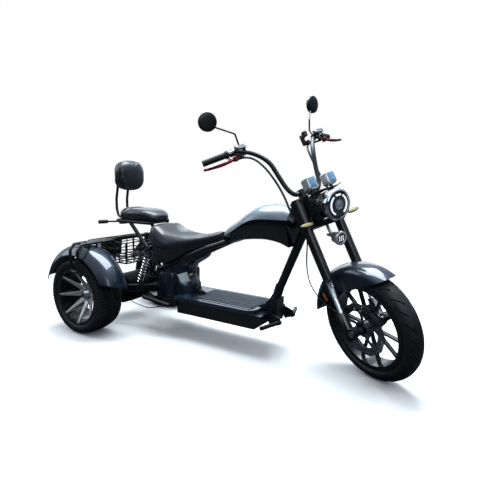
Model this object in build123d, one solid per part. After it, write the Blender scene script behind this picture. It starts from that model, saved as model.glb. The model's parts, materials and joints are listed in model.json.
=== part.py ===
from build123d import *
import os
from math import asin, cos, hypot, pi, radians, sin, sqrt, tan

# Electric chopper trike: one steered front wheel, two wide rear wheels, a rider's saddle and a
# pillion seat with a backrest. Millimetres. Until the last section, the origin is on the ground
# under the middle of the rear axle, with +X forward, +Y to the left and +Z up. The steering is
# drawn in its own axes, A forward, B to the left, C up along the steering axis, from the middle
# of the front axle, and is then set in place turned by STEER_REST.

# ---- driving dimensions ------------------------------------------------------------------
RAKE = 26.1                # steering axis, from the vertical
STEER_REST = -29.2         # the bars as parked: turned to the right
AXIS_X = 1697.0            # where the steering axis passes the height of the front axle
FORK_OFFSET = 85.0         # front axle, ahead of the steering axis
FIT_GAP = 0.3              # running and seating clearance

FRONT_R = 293.0            # front tyre, outer radius
FRONT_W = 112.0
FRONT_BEAD_R = 216.0       # 17 inch rim
FRONT_RIM_HALF = 38.0
FRONT_CROWN_R = 62.0       # roundness of the tread
REAR_R = 247.0
REAR_W = 190.0
REAR_BEAD_R = 178.0        # 14 inch rim
REAR_RIM_HALF = 78.0
REAR_CROWN_R = 420.0
REAR_OUT_Y = 468.0         # outer face of the rear tyres

AXLE_R = 10.0              # front spindle
STUB_R = 14.0              # rear stub axles
AXLE_TUBE_R = 30.0
HEAD_R = 27.0              # head tube, outside
STEM_R = 17.0
HEAD_C0, HEAD_C1 = 586.0, 690.0
SPINE_R = 22.0
RAIL_R = 18.0
DOWN_R = 24.0

LEG_A, LEG_B = -39.0, 110.0
LEG_R = 26.0
SLEEVE_R = 40.0
STANCHION_R = 15.0
FOOT_R = 25.0
LEG_C0, LEG_C1 = 288.0, 714.0
FOOT_C1 = 111.0

FLOOR_TOP = 272.0
FLOOR_THICK = 22.0
FLOOR_HALF = 155.0
FLOOR_X0, FLOOR_X1 = 560.0, 1140.0
RAIL_H = 24.0              # floor rails, under the floorboard
BATTERY_Z0 = 170.0

LAMP_R = 80.0
BAR_R = 12.5
GRIP_R = 17.0

nodes = {}


# ---- small makers ------------------------------------------------------------------------
def box(x0, x1, y0, y1, z0, z1):
    return Pos((x0 + x1) / 2, (y0 + y1) / 2, (z0 + z1) / 2) * Box(x1 - x0, y1 - y0, z1 - z0)


def rod(start, end, radius):
    """A round bar between two points."""
    start, end = Vector(*start), Vector(*end)
    run = end - start
    plane = Plane(origin=start, z_dir=run)
    return extrude(plane * Circle(radius), run.length)


def bent_tube(points, radius, bend):
    """A round tube along straight runs joined by arcs."""
    path = FilletPolyline(*points, radius=bend)
    start = Vector(*points[0])
    plane = Plane(origin=start, z_dir=Vector(*points[1]) - start)
    return sweep(plane * Circle(radius), path=path)


def mirrored(shape):
    """The shape and its twin on the other side."""
    return [shape, mirror(shape, about=Plane.XZ)]


def plate(outline, y0, y1):
    """A flat plate from an outline in X and Z, between two values of Y."""
    face = make_face(Polyline(*[(x, 0, z) for x, z in outline], close=True))
    return Pos(0, y0, 0) * extrude(face, y1 - y0, dir=(0, 1, 0))


def hull_of(sections):
    """A shell through rounded rectangles: X, half width, bottom, top, corner radius."""
    faces = []
    for x, half, low, high, corner in sections:
        plane = Plane(origin=(x, 0, (low + high) / 2), x_dir=(0, 1, 0), z_dir=(1, 0, 0))
        faces.append(plane * RectangleRounded(2 * half, high - low, corner))
    return loft(faces, ruled=True)


def tower_of(sections):
    """A shell with a round nose, through outlines one above the other: Z, X from, X of the nose, half width."""
    faces = []
    for z, x0, x1, half in sections:
        side_x = x1 - half
        edges = [
            Line((x0, -half), (side_x, -half)),
            ThreePointArc((side_x, -half), (x1, 0), (side_x, half)),
            Line((side_x, half), (x0, half)),
            Line((x0, half), (x0, -half)),
        ]
        faces.append(Plane(origin=(0, 0, z)) * make_face(edges))
    return loft(faces, ruled=True)


def fused(first, *rest):
    shape = first
    for other in rest:
        shape = shape + other
    return shape


# ---- wheels, made about the Y axis with outside towards +Y ---------------------------------
def turned(outline):
    """A ring from an outline of radius and width."""
    return revolve(make_face(Polyline(*outline, close=True)), Axis.Y)


def tyre(outer, width, bead, rim_half, crown):
    lip = 10.0
    edge = rim_half - FIT_GAP
    shoulder_t = width / 2 - 9.0
    shoulder_r = outer - crown + sqrt(crown ** 2 - shoulder_t ** 2)
    wall_r = (shoulder_r + bead + lip) / 2
    half = [
        Line((bead, 0), (bead, edge)),
        Line((bead, edge), (bead + lip, edge)),
        ThreePointArc((bead + lip, edge), (wall_r, width / 2), (shoulder_r, shoulder_t)),
    ]
    crown_arc = ThreePointArc((shoulder_r, shoulder_t), (outer, 0), (shoulder_r, -shoulder_t))
    other = [mirror(edge_line, about=Plane.XZ) for edge_line in half]
    return revolve(make_face(half + [crown_arc] + other), Axis.Y)


def barrel(bead, rim_half, wall):
    """The rim's barrel with a flange each side of the tyre."""
    out, flange = bead - FIT_GAP, bead + 9.0
    t0, t1 = rim_half, rim_half + 7.0
    return turned([
        (out - wall, -t1), (flange, -t1), (flange, -t0), (out, -t0),
        (out, t0), (flange, t0), (flange, t1), (out - wall, t1),
    ])


FRONT_HUB_R = 36.0
FRONT_HUB_HALF = 58.0
FRONT_WALL = 13.0
SPOKE_PAIRS = 5
SPOKE_TURN = 24.5          # how far the wheel stands turned
FRONT_SPOKE_W = 11.0
FRONT_SPOKE_T = 20.0
DISC_R = 140.0
DISC_T = 4.0


def front_rim():
    inside = FRONT_BEAD_R - FRONT_WALL
    hub = Rot(90, 0, 0) * Cylinder(FRONT_HUB_R, 2 * FRONT_HUB_HALF)
    rim = fused(barrel(FRONT_BEAD_R, FRONT_RIM_HALF, FRONT_WALL), hub)
    spread = 15.0
    for k in range(SPOKE_PAIRS):
        for side in (-1, 1):
            a0 = radians(360 / SPOKE_PAIRS * k + SPOKE_TURN + side * 6)
            a1 = radians(360 / SPOKE_PAIRS * k + SPOKE_TURN + side * spread)
            near = Vector(cos(a0), 0, sin(a0)) * (FRONT_HUB_R - 6)
            far = Vector(cos(a1), 0, sin(a1)) * (inside + 4)
            run = far - near
            plane = Plane(origin=near, x_dir=(0, 1, 0), z_dir=run)
            rim += extrude(plane * Rectangle(FRONT_SPOKE_T, FRONT_SPOKE_W), run.length)
    return rim - Rot(90, 0, 0) * Cylinder(AXLE_R + FIT_GAP, 3 * FRONT_HUB_HALF)


def front_disc():
    """The brake disc on the right of the hub, with five arms to its carrier."""
    y0 = -FRONT_HUB_HALF - DISC_T
    ring_in, hub_out, bore = 0.70 * DISC_R, 46.0, 30.0
    flat = Circle(DISC_R) - Circle(ring_in)
    flat += Circle(hub_out)
    for k in range(5):
        arm = Pos((ring_in + hub_out) / 2, 0) * Rectangle(ring_in - hub_out + 12, 16)
        flat += Rot(0, 0, 72 * k + 20) * arm
    flat -= Circle(bore)
    return Pos(0, y0 + DISC_T, 0) * Rot(90, 0, 0) * extrude(flat, DISC_T)


REAR_WALL = 9.0
REAR_HUB_R = 54.0
HUB_OUT_T = -2.0           # hub face, measured outwards from the middle of the tyre
HUB_IN_T = -52.0
SPOKES = 8
SPOKE_TIP_T = 94.0


def rear_rim():
    """Deep-dish rim: eight tapered blades from a sunken hub out to the flange."""
    hub = Pos(0, (HUB_OUT_T + HUB_IN_T) / 2, 0) * Rot(90, 0, 0) * Cylinder(
        REAR_HUB_R, HUB_OUT_T - HUB_IN_T)
    cap = Pos(0, HUB_OUT_T + 11, 0) * Rot(90, 0, 0) * Cylinder(26, 24)
    rim = fused(barrel(REAR_BEAD_R, REAR_RIM_HALF, REAR_WALL), hub, cap)
    tip_r = REAR_BEAD_R - REAR_WALL + 2
    near = Vector(REAR_HUB_R - 14, HUB_OUT_T - 8, 0)
    far = Vector(tip_r, SPOKE_TIP_T - 14, 0)
    run = far - near
    blade = loft([
        Plane(origin=near, x_dir=(0, 0, 1), z_dir=run) * RectangleRounded(38, 16, 4),
        Plane(origin=far, x_dir=(0, 0, 1), z_dir=run) * RectangleRounded(13, 12, 4),
    ])
    for k in range(SPOKES):
        rim += Rot(0, 360 / SPOKES * (k - 0.08), 0) * blade
    depth = HUB_OUT_T - HUB_IN_T - 6
    bore = Pos(0, HUB_IN_T + depth / 2, 0) * Rot(90, 0, 0) * Cylinder(STUB_R + FIT_GAP, depth)
    return rim - bore


rear_mid_y = REAR_OUT_Y - REAR_W / 2
nodes_rear = {
    "rear_tyre": tyre(REAR_R, REAR_W, REAR_BEAD_R, REAR_RIM_HALF, REAR_CROWN_R),
    "rear_rim": rear_rim(),
}
for name, shape in nodes_rear.items():
    left = Pos(0, rear_mid_y, REAR_R) * shape
    nodes[name + "_left"] = left
    nodes[name + "_right"] = mirror(left, about=Plane.XZ)

# ---- rear axle, drive, swing arm and shocks ------------------------------------------------
AXLE_END_Y = 256.0
hub_in_y = rear_mid_y + HUB_IN_T
stub_end_y = rear_mid_y + HUB_OUT_T - 8
axle = rod((0, -AXLE_END_Y, REAR_R), (0, AXLE_END_Y, REAR_R), AXLE_TUBE_R)
for side in (-1, 1):
    axle += rod((0, side * AXLE_END_Y, REAR_R), (0, side * stub_end_y, REAR_R), STUB_R)
    axle += rod((0, side * (AXLE_END_Y - 12), REAR_R), (0, side * AXLE_END_Y, REAR_R), 52)
    axle += rod((0, side * AXLE_END_Y, REAR_R), (0, side * (hub_in_y - FIT_GAP), REAR_R), 24)
nodes["rear_axle"] = axle

MOTOR_R = 104.0
MOTOR_HALF = 92.0
motor_x, motor_z = 14.0, REAR_R - 20
motor = rod((motor_x, -MOTOR_HALF, motor_z), (motor_x, MOTOR_HALF, motor_z), MOTOR_R)
motor += rod((motor_x, -MOTOR_HALF - 14, motor_z), (motor_x, MOTOR_HALF + 14, motor_z), 66)
nodes["drive_motor"] = motor - rod((0, -200, REAR_R), (0, 200, REAR_R), AXLE_TUBE_R + FIT_GAP)

UPRIGHT_X, UPRIGHT_Y = 395.0, 104.0
PIVOT_Z = 300.0
ARM_Y, ARM_T, ARM_H = 146.0, 34.0, 44.0
arms = []
for side in (-1, 1):
    arm_in, arm_out = ARM_Y - ARM_T / 2, ARM_Y + ARM_T / 2
    low, high = sorted((side * arm_in, side * arm_out))
    arm = plate([(-8, REAR_R + 48), (-8, REAR_R - 48), (60, REAR_R - 26),
                 (UPRIGHT_X, PIVOT_Z - ARM_H / 2), (UPRIGHT_X + 8, PIVOT_Z),
                 (UPRIGHT_X, PIVOT_Z + ARM_H / 2), (60, REAR_R + 24), (40, REAR_R + 48)], low, high)
    eye = rod((UPRIGHT_X, side * (UPRIGHT_Y + RAIL_R + FIT_GAP), PIVOT_Z),
              (UPRIGHT_X, side * arm_out, PIVOT_Z), 26)
    arms.append(arm + eye)
brace = rod((300, -ARM_Y, PIVOT_Z - 12), (300, ARM_Y, PIVOT_Z - 12), 15)
arm_pair = fused(arms[0], arms[1], brace)
nodes["swing_arm"] = arm_pair - rod((0, -300, REAR_R), (0, 300, REAR_R), AXLE_TUBE_R + FIT_GAP)

SHOCK_Y = 118.0
EYE_R, EYE_HALF = 18.0, 9.0
SHOCK_TOP = (326.0, 550.0)
SHOCK_LOW = (215.0, 274.0)
SHAFT_R = 11.0
shock_in = SHOCK_Y - SHAFT_R - FIT_GAP


# ---- main frame ------------------------------------------------------------------------------
def axis_point(c):
    """The steering axis, at a height C along it."""
    return Vector(AXIS_X - c * sin(radians(RAKE)), 0, axis_z + c * cos(radians(RAKE)))


lean = asin(abs(sin(radians(STEER_REST))) * sin(radians(RAKE)))
front_axle_z = (FRONT_R - FRONT_CROWN_R) * cos(lean) + FRONT_CROWN_R
turn = radians(STEER_REST)
rake = radians(RAKE)
axis_z = front_axle_z - FORK_OFFSET * cos(turn) * sin(rake)
front_centre = Vector(AXIS_X + FORK_OFFSET * cos(turn) * cos(rake), FORK_OFFSET * sin(turn),
                      front_axle_z)
forward = Vector(cos(turn) * cos(rake), sin(turn), cos(turn) * sin(rake))
up_axis = Vector(-sin(rake), 0, cos(rake))
steering = Plane(origin=front_centre, x_dir=forward, z_dir=up_axis)

head_low, head_high = axis_point(HEAD_C0), axis_point(HEAD_C1)
head_mid = axis_point((HEAD_C0 + HEAD_C1) / 2 - 10)
SPINE = [(1290, 745), (1120, 733), (985, 692), (890, 640)]
spine_path = [(head_mid.X, 0, head_mid.Z)] + [(x, 0, z) for x, z in SPINE]
spine = bent_tube(spine_path, SPINE_R, 60)
head = rod(head_low, head_high, HEAD_R)
# rail under the saddle: X, distance from the middle, Z
RAIL = [(905, 14, 642), (770, 88, 588), (600, 106, 512), (430, 106, 428)]
rails = []
for side in (-1, 1):
    rail = bent_tube([(x, side * y, z) for x, y, z in RAIL], RAIL_R, 60)
    upright = rod((UPRIGHT_X, side * UPRIGHT_Y, FLOOR_TOP - FLOOR_THICK - RAIL_H),
                  (UPRIGHT_X, side * UPRIGHT_Y, 428), RAIL_R)
    knee = rod((UPRIGHT_X, side * UPRIGHT_Y, 428), (430, side * 106, 428), RAIL_R)
    hoop = rod((UPRIGHT_X + 6, side * UPRIGHT_Y, 420), (SHOCK_TOP[0], side * 84, SHOCK_TOP[1]), 14)
    rails += [rail, upright, knee, hoop]
cross = [
    rod((SHOCK_TOP[0], -shock_in, SHOCK_TOP[1]), (SHOCK_TOP[0], shock_in, SHOCK_TOP[1]), 14),
    rod((UPRIGHT_X, -UPRIGHT_Y, PIVOT_Z), (UPRIGHT_X, UPRIGHT_Y, PIVOT_Z), RAIL_R),
]
frame = fused(spine, head, *rails, *cross)
stem_bore = rod(axis_point(HEAD_C0 - 40), axis_point(HEAD_C1 + 40), STEM_R + FIT_GAP)
nodes["main_frame"] = frame - stem_bore

DOWN = [(1401, 806), (1234, 403), (1204, 306), (1186, 236)]
down = bent_tube([(x, 0, z) for x, z in DOWN], DOWN_R, 70)
CRADLE_X1 = 1190.0          # front of the floor frame
rail_z1 = FLOOR_TOP - FLOOR_THICK
rail_z0 = rail_z1 - RAIL_H
gusset = plate([(1100, rail_z0), (1100, rail_z1), (1148, 262), (1190, 330), (1236, 334),
                (1232, rail_z0 - 26), (1180, rail_z0 - 26)], -44, 44)
cradle = [down, gusset]
for side in (-1, 1):
    low, high = sorted((side * (FLOOR_HALF - 30), side * FLOOR_HALF))
    cradle.append(box(UPRIGHT_X + 60, CRADLE_X1, low, high, rail_z0, rail_z1))
    lug_low, lug_high = sorted((side * (UPRIGHT_Y - 14), side * FLOOR_HALF))
    cradle.append(box(UPRIGHT_X + RAIL_R + FIT_GAP, UPRIGHT_X + 62, lug_low, lug_high,
                      rail_z0, rail_z1))
cradle.append(box(CRADLE_X1 - 42, CRADLE_X1, -FLOOR_HALF, FLOOR_HALF, rail_z0, rail_z1))
cradle.append(box(UPRIGHT_X + 62, UPRIGHT_X + 100, -FLOOR_HALF, FLOOR_HALF, rail_z0, rail_z1))
clear_head = rod(head_low, head_high, HEAD_R + FIT_GAP)
cradle_shape = fused(*cradle) - clear_head - rod(head_low, head_high, STEM_R)
cradle_shape -= bent_tube(spine_path, SPINE_R + FIT_GAP, 60)
# room for the lower clamp to turn
cradle_shape -= rod(axis_point(HEAD_C0 - 50), head_low, HEAD_R + 33)
nodes["frame_cradle"] = cradle_shape

# ---- floorboard and battery box ----------------------------------------------------------------
deck = Pos((FLOOR_X0 + FLOOR_X1) / 2, 0, FLOOR_TOP - FLOOR_THICK / 2) * Box(
    FLOOR_X1 - FLOOR_X0, 2 * FLOOR_HALF, FLOOR_THICK)
front_edges = deck.edges().filter_by(Axis.Z).group_by(Axis.X)[-1]
deck = fillet(front_edges, 60)
RIBS = 8
RIB_W, RIB_H = 12.0, 3.0
RIB_X0, RIB_X1 = 760.0, 1105.0
for k in range(RIBS):
    y = (k - (RIBS - 1) / 2) * (2 * FLOOR_HALF - 60) / (RIBS - 1)
    deck += box(RIB_X0, RIB_X1, y - RIB_W / 2, y + RIB_W / 2, FLOOR_TOP - 1, FLOOR_TOP + RIB_H)
deck -= box(1088, 1300, -44 - FIT_GAP, 44 + FIT_GAP, 200, 400)
nodes["floorboard"] = deck

box_x0, box_x1 = 590.0, 1200.0
battery = plate([(box_x0, BATTERY_Z0), (box_x0, rail_z0), (box_x1 - 6, rail_z0),
                 (box_x1, rail_z0 - 20), (box_x1 - 50, BATTERY_Z0)], -FLOOR_HALF, FLOOR_HALF)
# its lid fills the floor frame up to the boards
battery += box(UPRIGHT_X + 100 + FIT_GAP, CRADLE_X1 - 42 - FIT_GAP, -FLOOR_HALF + 30 + FIT_GAP,
               FLOOR_HALF - 30 - FIT_GAP, rail_z0 - 1, rail_z1 - FIT_GAP)
nodes["battery_box"] = battery - box(1100, 1300, -44 - FIT_GAP, 44 + FIT_GAP, 200, 400)

# ---- front foot pegs -----------------------------------------------------------------------------
# ears ahead of the floor frame's front bar, each with a peg that reaches out and a little back
PEG_EAR_Y, PEG_EAR_T = 84.0, 8.0
PEG_END = (1230, 219, 212)
peg_x, peg_z = 1272, 216
ear_x0 = CRADLE_X1 + FIT_GAP
pegs = []
for side in (-1, 1):
    outer = PEG_EAR_Y + PEG_EAR_T
    low, high = sorted((side * PEG_EAR_Y, side * outer))
    ear = plate([(ear_x0, rail_z0), (ear_x0, rail_z1), (1214, rail_z1 + 14), (peg_x + 4, peg_z + 24),
                 (peg_x + 12, peg_z - 8), (1226, peg_z - 30), (1208, peg_z - 10), (1203, rail_z0)],
                low, high)
    pin = rod((peg_x, side * outer, peg_z), (PEG_END[0], side * PEG_END[1], PEG_END[2]), 12)
    root = rod((peg_x, side * (PEG_EAR_Y - 4), peg_z), (peg_x, side * (outer + 6), peg_z), 15)
    pegs.append(ear + pin + root)
nodes["front_foot_pegs"] = Compound(children=pegs)

# ---- moulded body under the saddle ---------------------------------------------------------------
SHELL_HALF = 114.0
SHELL_X0 = UPRIGHT_X + 30
# Z, X from, X of the nose, half width
SHELL = [
    (FLOOR_TOP, SHELL_X0, 640, SHELL_HALF),
    (330, SHELL_X0, 626, SHELL_HALF),
    (370, SHELL_X0, 607, SHELL_HALF),
    (408, SHELL_X0, 598, SHELL_HALF),
    (448, SHELL_X0, 613, SHELL_HALF - 6),
    (477, SHELL_X0 + 15, 655, SHELL_HALF - 12),
    (500, 490, 692, SHELL_HALF - 20),
    (520, 540, 716, SHELL_HALF - 30),
    (550, 600, 732, SHELL_HALF - 44),
]
SIDE_COVER_Y = 144.0
SIDE_COVER_X1 = 545.0
SIDE_COVER_Z1 = 414.0
body = tower_of(SHELL)
covers = box(SHELL_X0, SIDE_COVER_X1, -SIDE_COVER_Y, SIDE_COVER_Y, FLOOR_TOP, SIDE_COVER_Z1)
covers = fillet(covers.edges().filter_by(Axis.Z).group_by(Axis.X)[-1], 24)
body += covers
body += box(SHELL_X0, FLOOR_X0, -FLOOR_HALF + 6, FLOOR_HALF - 6, rail_z1, FLOOR_TOP)
clear_frame = []
for side in (-1, 1):
    clear_frame.append(bent_tube([(x, side * y, z) for x, y, z in RAIL], RAIL_R + FIT_GAP, 60))
    clear_frame.append(rod((UPRIGHT_X, side * UPRIGHT_Y, 428), (430, side * 106, 428),
                           RAIL_R + FIT_GAP))
for tube in clear_frame:
    body -= tube
nodes["body_shell"] = body

# ---- saddle ----------------------------------------------------------------------------------------
# X, half width, bottom, top, corner
SADDLE = [
    (318, 92, 600, 668, 30),
    (345, 128, 576, 694, 44),
    (382, 146, 556, 701, 50),
    (416, 150, 545, 688, 50),
    (484, 152, 540, 657, 44),
    (565, 148, 552, 642, 38),
    (650, 128, 584, 645, 28),
    (740, 96, 613, 664, 22),
    (838, 60, 650, 688, 16),
]
nodes["rider_seat"] = hull_of(SADDLE)
# plastic base between the saddle and the rails: the same widths, a little inside
BASE_INSET = 8.0
BASE_LOW = [600, 552, 490, 470, 462, 505, 558, 590, 632]
base_sections = []
for (x, half, low, high, corner), base_low in list(zip(SADDLE, BASE_LOW))[1:]:
    base_sections.append((x, half - BASE_INSET, base_low, low + 20, min(10, (low - base_low) / 3)))
seat_base = hull_of(base_sections) - hull_of(SADDLE)
for tube in clear_frame:
    seat_base -= tube
seat_base -= body
for side in (-1, 1):
    seat_base -= rod((UPRIGHT_X + 6, side * UPRIGHT_Y, 420), (SHOCK_TOP[0], side * 84, SHOCK_TOP[1]),
                     14 + FIT_GAP)
nodes["seat_base"] = seat_base.solids().sort_by(SortBy.VOLUME)[-1]

# ---- tank ------------------------------------------------------------------------------------------
# X, half width, bottom of the black cover, joint with the silver cover, top
TANK = [
    (868, 46, 616, 662, 699),
    (905, 66, 622, 682, 729),
    (975, 88, 650, 722, 771),
    (1045, 104, 664, 763, 822),
    (1115, 113, 673, 785, 857),
    (1185, 116, 675, 791, 870),
    (1255, 110, 664, 791, 866),
    (1308, 92, 640, 790, 847),
]
SHOULDER = 0.715            # how full the silver cover's shoulders are


def tank_cover(upper):
    faces = []
    for x, half, low, joint, top in TANK:
        plane = Plane(origin=(x, 0, 0), x_dir=(0, 1, 0), z_dir=(1, 0, 0))
        if upper:
            rise = top - joint
            edges = [
                Line((-half, joint), (half, joint)),
                ThreePointArc((half, joint), (SHOULDER * half, joint + SHOULDER * rise), (0, top)),
                ThreePointArc((0, top), (-SHOULDER * half, joint + SHOULDER * rise), (-half, joint)),
            ]
        else:
            inset = 0.72 * half
            edges = [
                Line((-half, joint), (half, joint)),
                ThreePointArc((half, joint), (0.97 * half, (joint + low) / 2), (inset, low)),
                Line((inset, low), (-inset, low)),
                ThreePointArc((-inset, low), (-0.97 * half, (joint + low) / 2), (-half, joint)),
            ]
        faces.append(plane * make_face(edges))
    return loft(faces, ruled=True)


clear_spine = bent_tube(spine_path, SPINE_R + FIT_GAP, 60)
nodes["tank_upper"] = tank_cover(True)
lower = tank_cover(False) - clear_spine - clear_head
for tube in clear_frame:
    lower -= tube
lower -= bent_tube([(x, 0, z) for x, z in DOWN], DOWN_R + FIT_GAP, 70)
nodes["tank_lower"] = lower.solids().sort_by(SortBy.VOLUME)[-1]

# ---- shocks ----------------------------------------------------------------------------------------
SPRING_R = 21.0
SPRING_FROM, SPRING_LEN = 78.0, 180.0
shocks = []
for side in (-1, 1):
    top = Vector(SHOCK_TOP[0], side * SHOCK_Y, SHOCK_TOP[1])
    low = Vector(SHOCK_LOW[0], side * SHOCK_Y, SHOCK_LOW[1])
    along = (low - top).normalized()
    shock = rod(top, low, SHAFT_R)
    shock += rod(top + along * SPRING_FROM, top + along * (SPRING_FROM + SPRING_LEN), SPRING_R)
    reach = Vector(0, EYE_HALF - FIT_GAP, 0)
    for end in (top, low):
        shock += rod(end - reach, end + reach, EYE_R)
    arm_face = side * (ARM_Y - ARM_T / 2 - FIT_GAP)
    shock += rod(low, (SHOCK_LOW[0], arm_face, SHOCK_LOW[1]), 8)
    shocks.append(shock)
nodes["rear_shocks"] = Compound(children=shocks)

# ---- rear fenders ----------------------------------------------------------------------------------
FENDER_T = 4.0
FENDER_CROWN_R = 332.0
FENDER_FROM, FENDER_TO = 8.0, 162.0     # degrees above the axle, from the front to the tail
# radius and distance from the middle, from the outer lip over the crown to the inner lip
fender_out_y = REAR_OUT_Y + 17
FENDER = [
    (272, fender_out_y - 9), (288, fender_out_y - 19), (310, fender_out_y - 37),
    (325, fender_out_y - 60), (FENDER_CROWN_R, fender_out_y - 105), (329, fender_out_y - 150),
    (318, fender_out_y - 178), (302, fender_out_y - 196),
]


def fender_skin(outline, thickness):
    """The outline and the same one a thickness inside it, as one closed outline."""
    centre_r = min(r for r, y in outline) - 20
    centre_y = (outline[0][1] + outline[-1][1]) / 2
    inner = []
    for r, y in outline:
        reach = hypot(r - centre_r, y - centre_y)
        share = 1 - thickness / reach
        inner.append((centre_r + (r - centre_r) * share, centre_y + (y - centre_y) * share))
    return outline + inner[::-1]


fender = revolve(make_face(Polyline(*fender_skin(FENDER, FENDER_T), close=True)), Axis.Y,
                 FENDER_TO - FENDER_FROM)
fender = Pos(0, 0, REAR_R) * Rot(0, -FENDER_TO, 0) * fender
# the front edge rises from the crown to the outer lip
EDGE_RISE = 17.0
edge_y = fender_out_y - 135
below = Pos(300, edge_y, 322) * Rot(EDGE_RISE, 0, 0) * Pos(0, 0, -200) * Box(360, 700, 400)
fender -= below
LOOP_X = (20.0, 88.0)
LOOP_R = 9.0
PAD_Y = 350.0
PAD_R = 8.0
for x in LOOP_X:
    fender -= rod((x, PAD_Y, 500), (x, PAD_Y, 640), PAD_R + FIT_GAP)
nodes["rear_fenders"] = Compound(children=mirrored(fender))

# ---- rack: guard loops over the fenders, cross tubes ------------------------------------------------
loop_z = REAR_R + FENDER_CROWN_R + 6 + LOOP_R
LOOP_IN_Y = 206.0
LOOP_LOW_Z = 424.0
loop_out_y = fender_out_y + 3 + LOOP_R
ring_top = REAR_R + 38
x0, x1 = LOOP_X
loop_points = [
    (x0, LOOP_IN_Y, ring_top), (x0, LOOP_IN_Y, loop_z), (x0, loop_out_y - 30, loop_z),
    (x0, loop_out_y, loop_z - 36), (x0, loop_out_y, LOOP_LOW_Z), (x1, loop_out_y, LOOP_LOW_Z),
    (x1, loop_out_y, loop_z - 36), (x1, loop_out_y - 30, loop_z), (x1, LOOP_IN_Y, loop_z),
    (x1, LOOP_IN_Y, ring_top + 130), (x0 + 8, LOOP_IN_Y, ring_top + 24),
]
RACK_TAIL_X = -160.0
half_rack = bent_tube(loop_points, LOOP_R, 18)
clamp_ring = rod((0, LOOP_IN_Y - 14, REAR_R), (0, LOOP_IN_Y + 14, REAR_R), AXLE_TUBE_R + 12)
half_rack += clamp_ring
half_rack += rod((x0, LOOP_IN_Y, ring_top - 10), (x0, LOOP_IN_Y, ring_top + 4), LOOP_R)
for y in (LOOP_IN_Y + 34, 400):
    half_rack += box(x0 - 6, x1 + 6, y - 12, y + 12, loop_z - 3, loop_z + 3)
for x in LOOP_X:
    half_rack += rod((x, PAD_Y, loop_z - 24), (x, PAD_Y, loop_z), PAD_R)
half_rack += rod((x0, LOOP_IN_Y, loop_z - 26), (RACK_TAIL_X, LOOP_IN_Y, loop_z - 26), LOOP_R)
rack = fused(half_rack, mirror(half_rack, about=Plane.XZ))
CROSS_R = 13.0
cross_x = (x0 + x1) / 2
cross_z = loop_z
rack += rod((cross_x, -406, cross_z), (cross_x, 406, cross_z), CROSS_R)
rack += rod((RACK_TAIL_X, -LOOP_IN_Y - LOOP_R, loop_z - 26), (RACK_TAIL_X, LOOP_IN_Y + LOOP_R, loop_z - 26),
            LOOP_R)
KNOB_Y = 127.0
for side in (-1, 1):
    rack += rod((cross_x, side * KNOB_Y, cross_z - 50), (cross_x, side * KNOB_Y, cross_z + 15), 15)
rack -= rod((0, -300, REAR_R), (0, 300, REAR_R), AXLE_TUBE_R + FIT_GAP)
nodes["rear_rack"] = rack

# ---- wire basket: five flat grilles ------------------------------------------------------------------
WIRE_R = 4.0
basket_y = LOOP_IN_Y - LOOP_R - WIRE_R - FIT_GAP
BASKET_X0, BASKET_X1 = RACK_TAIL_X + LOOP_R + WIRE_R + FIT_GAP, 182.0
BASKET_Z0, BASKET_Z1 = 440.0, cross_z - CROSS_R - WIRE_R - FIT_GAP


def grille(width, height, columns, rows):
    """A flat wire grille standing in X and Z, its corner at the origin."""
    wires = []
    for k in range(columns + 1):
        x = width * k / columns
        wires.append(rod((x, 0, 0), (x, 0, height), WIRE_R))
    for k in range(rows + 1):
        z = height * k / rows
        wires.append(rod((-WIRE_R, 0, z), (width + WIRE_R, 0, z), WIRE_R))
    return fused(*wires)


side_len = BASKET_X1 - BASKET_X0
wall_h = BASKET_Z1 - BASKET_Z0
inset = 2 * WIRE_R + FIT_GAP
side_grille = grille(side_len, wall_h, 5, 3)
end_grille = Rot(0, 0, 90) * grille(2 * basket_y - 2 * inset, wall_h, 6, 3)
floor_grille = Rot(-90, 0, 0) * grille(side_len - 2 * inset, 2 * basket_y - 2 * inset, 4, 6)
grilles = [
    Pos(BASKET_X0, -basket_y, BASKET_Z0) * side_grille,
    Pos(BASKET_X0, basket_y, BASKET_Z0) * side_grille,
    Pos(BASKET_X0, -basket_y + inset, BASKET_Z0) * end_grille,
    Pos(BASKET_X1, -basket_y + inset, BASKET_Z0) * end_grille,
    Pos(BASKET_X0 + inset, -basket_y + inset, BASKET_Z0) * floor_grille,
]
nodes["rack_basket"] = Compound(children=grilles)

# ---- pillion seat on its struts, backrest -------------------------------------------------------------
STRUT_Y, STRUT_R = 90.0, 13.0
SEAT_RAIL_Z = 711.0
SEAT_RAIL_X0, SEAT_RAIL_X1 = -4.0, 302.0
struts = []
strut_foot = (UPRIGHT_X + 4, 412)
for side in (-1, 1):
    strut = rod((118, side * STRUT_Y, SEAT_RAIL_Z), (strut_foot[0], side * STRUT_Y, strut_foot[1]),
                STRUT_R)
    rail = rod((SEAT_RAIL_X0, side * STRUT_Y, SEAT_RAIL_Z), (SEAT_RAIL_X1, side * STRUT_Y, SEAT_RAIL_Z),
               STRUT_R - 1)
    struts += [strut, rail]
tie_rear = rod((SEAT_RAIL_X0 + 8, -STRUT_Y, SEAT_RAIL_Z), (SEAT_RAIL_X0 + 8, STRUT_Y, SEAT_RAIL_Z), 10)
tie_front = rod((SEAT_RAIL_X1 - 12, -STRUT_Y, SEAT_RAIL_Z), (SEAT_RAIL_X1 - 12, STRUT_Y, SEAT_RAIL_Z), 10)
tie_mid = rod((250, -STRUT_Y, 565), (250, STRUT_Y, 565), 10)
seat_struts = fused(*struts, tie_rear, tie_front, tie_mid)
seat_struts += box(SEAT_RAIL_X0 + 16, SEAT_RAIL_X1 + 2, -100, 100, SEAT_RAIL_Z + 8, SEAT_RAIL_Z + 15)
nodes["seat_struts"] = seat_struts - frame

pillion_z0 = SEAT_RAIL_Z + 15 + FIT_GAP
PILLION_Z1 = 790.0
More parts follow.
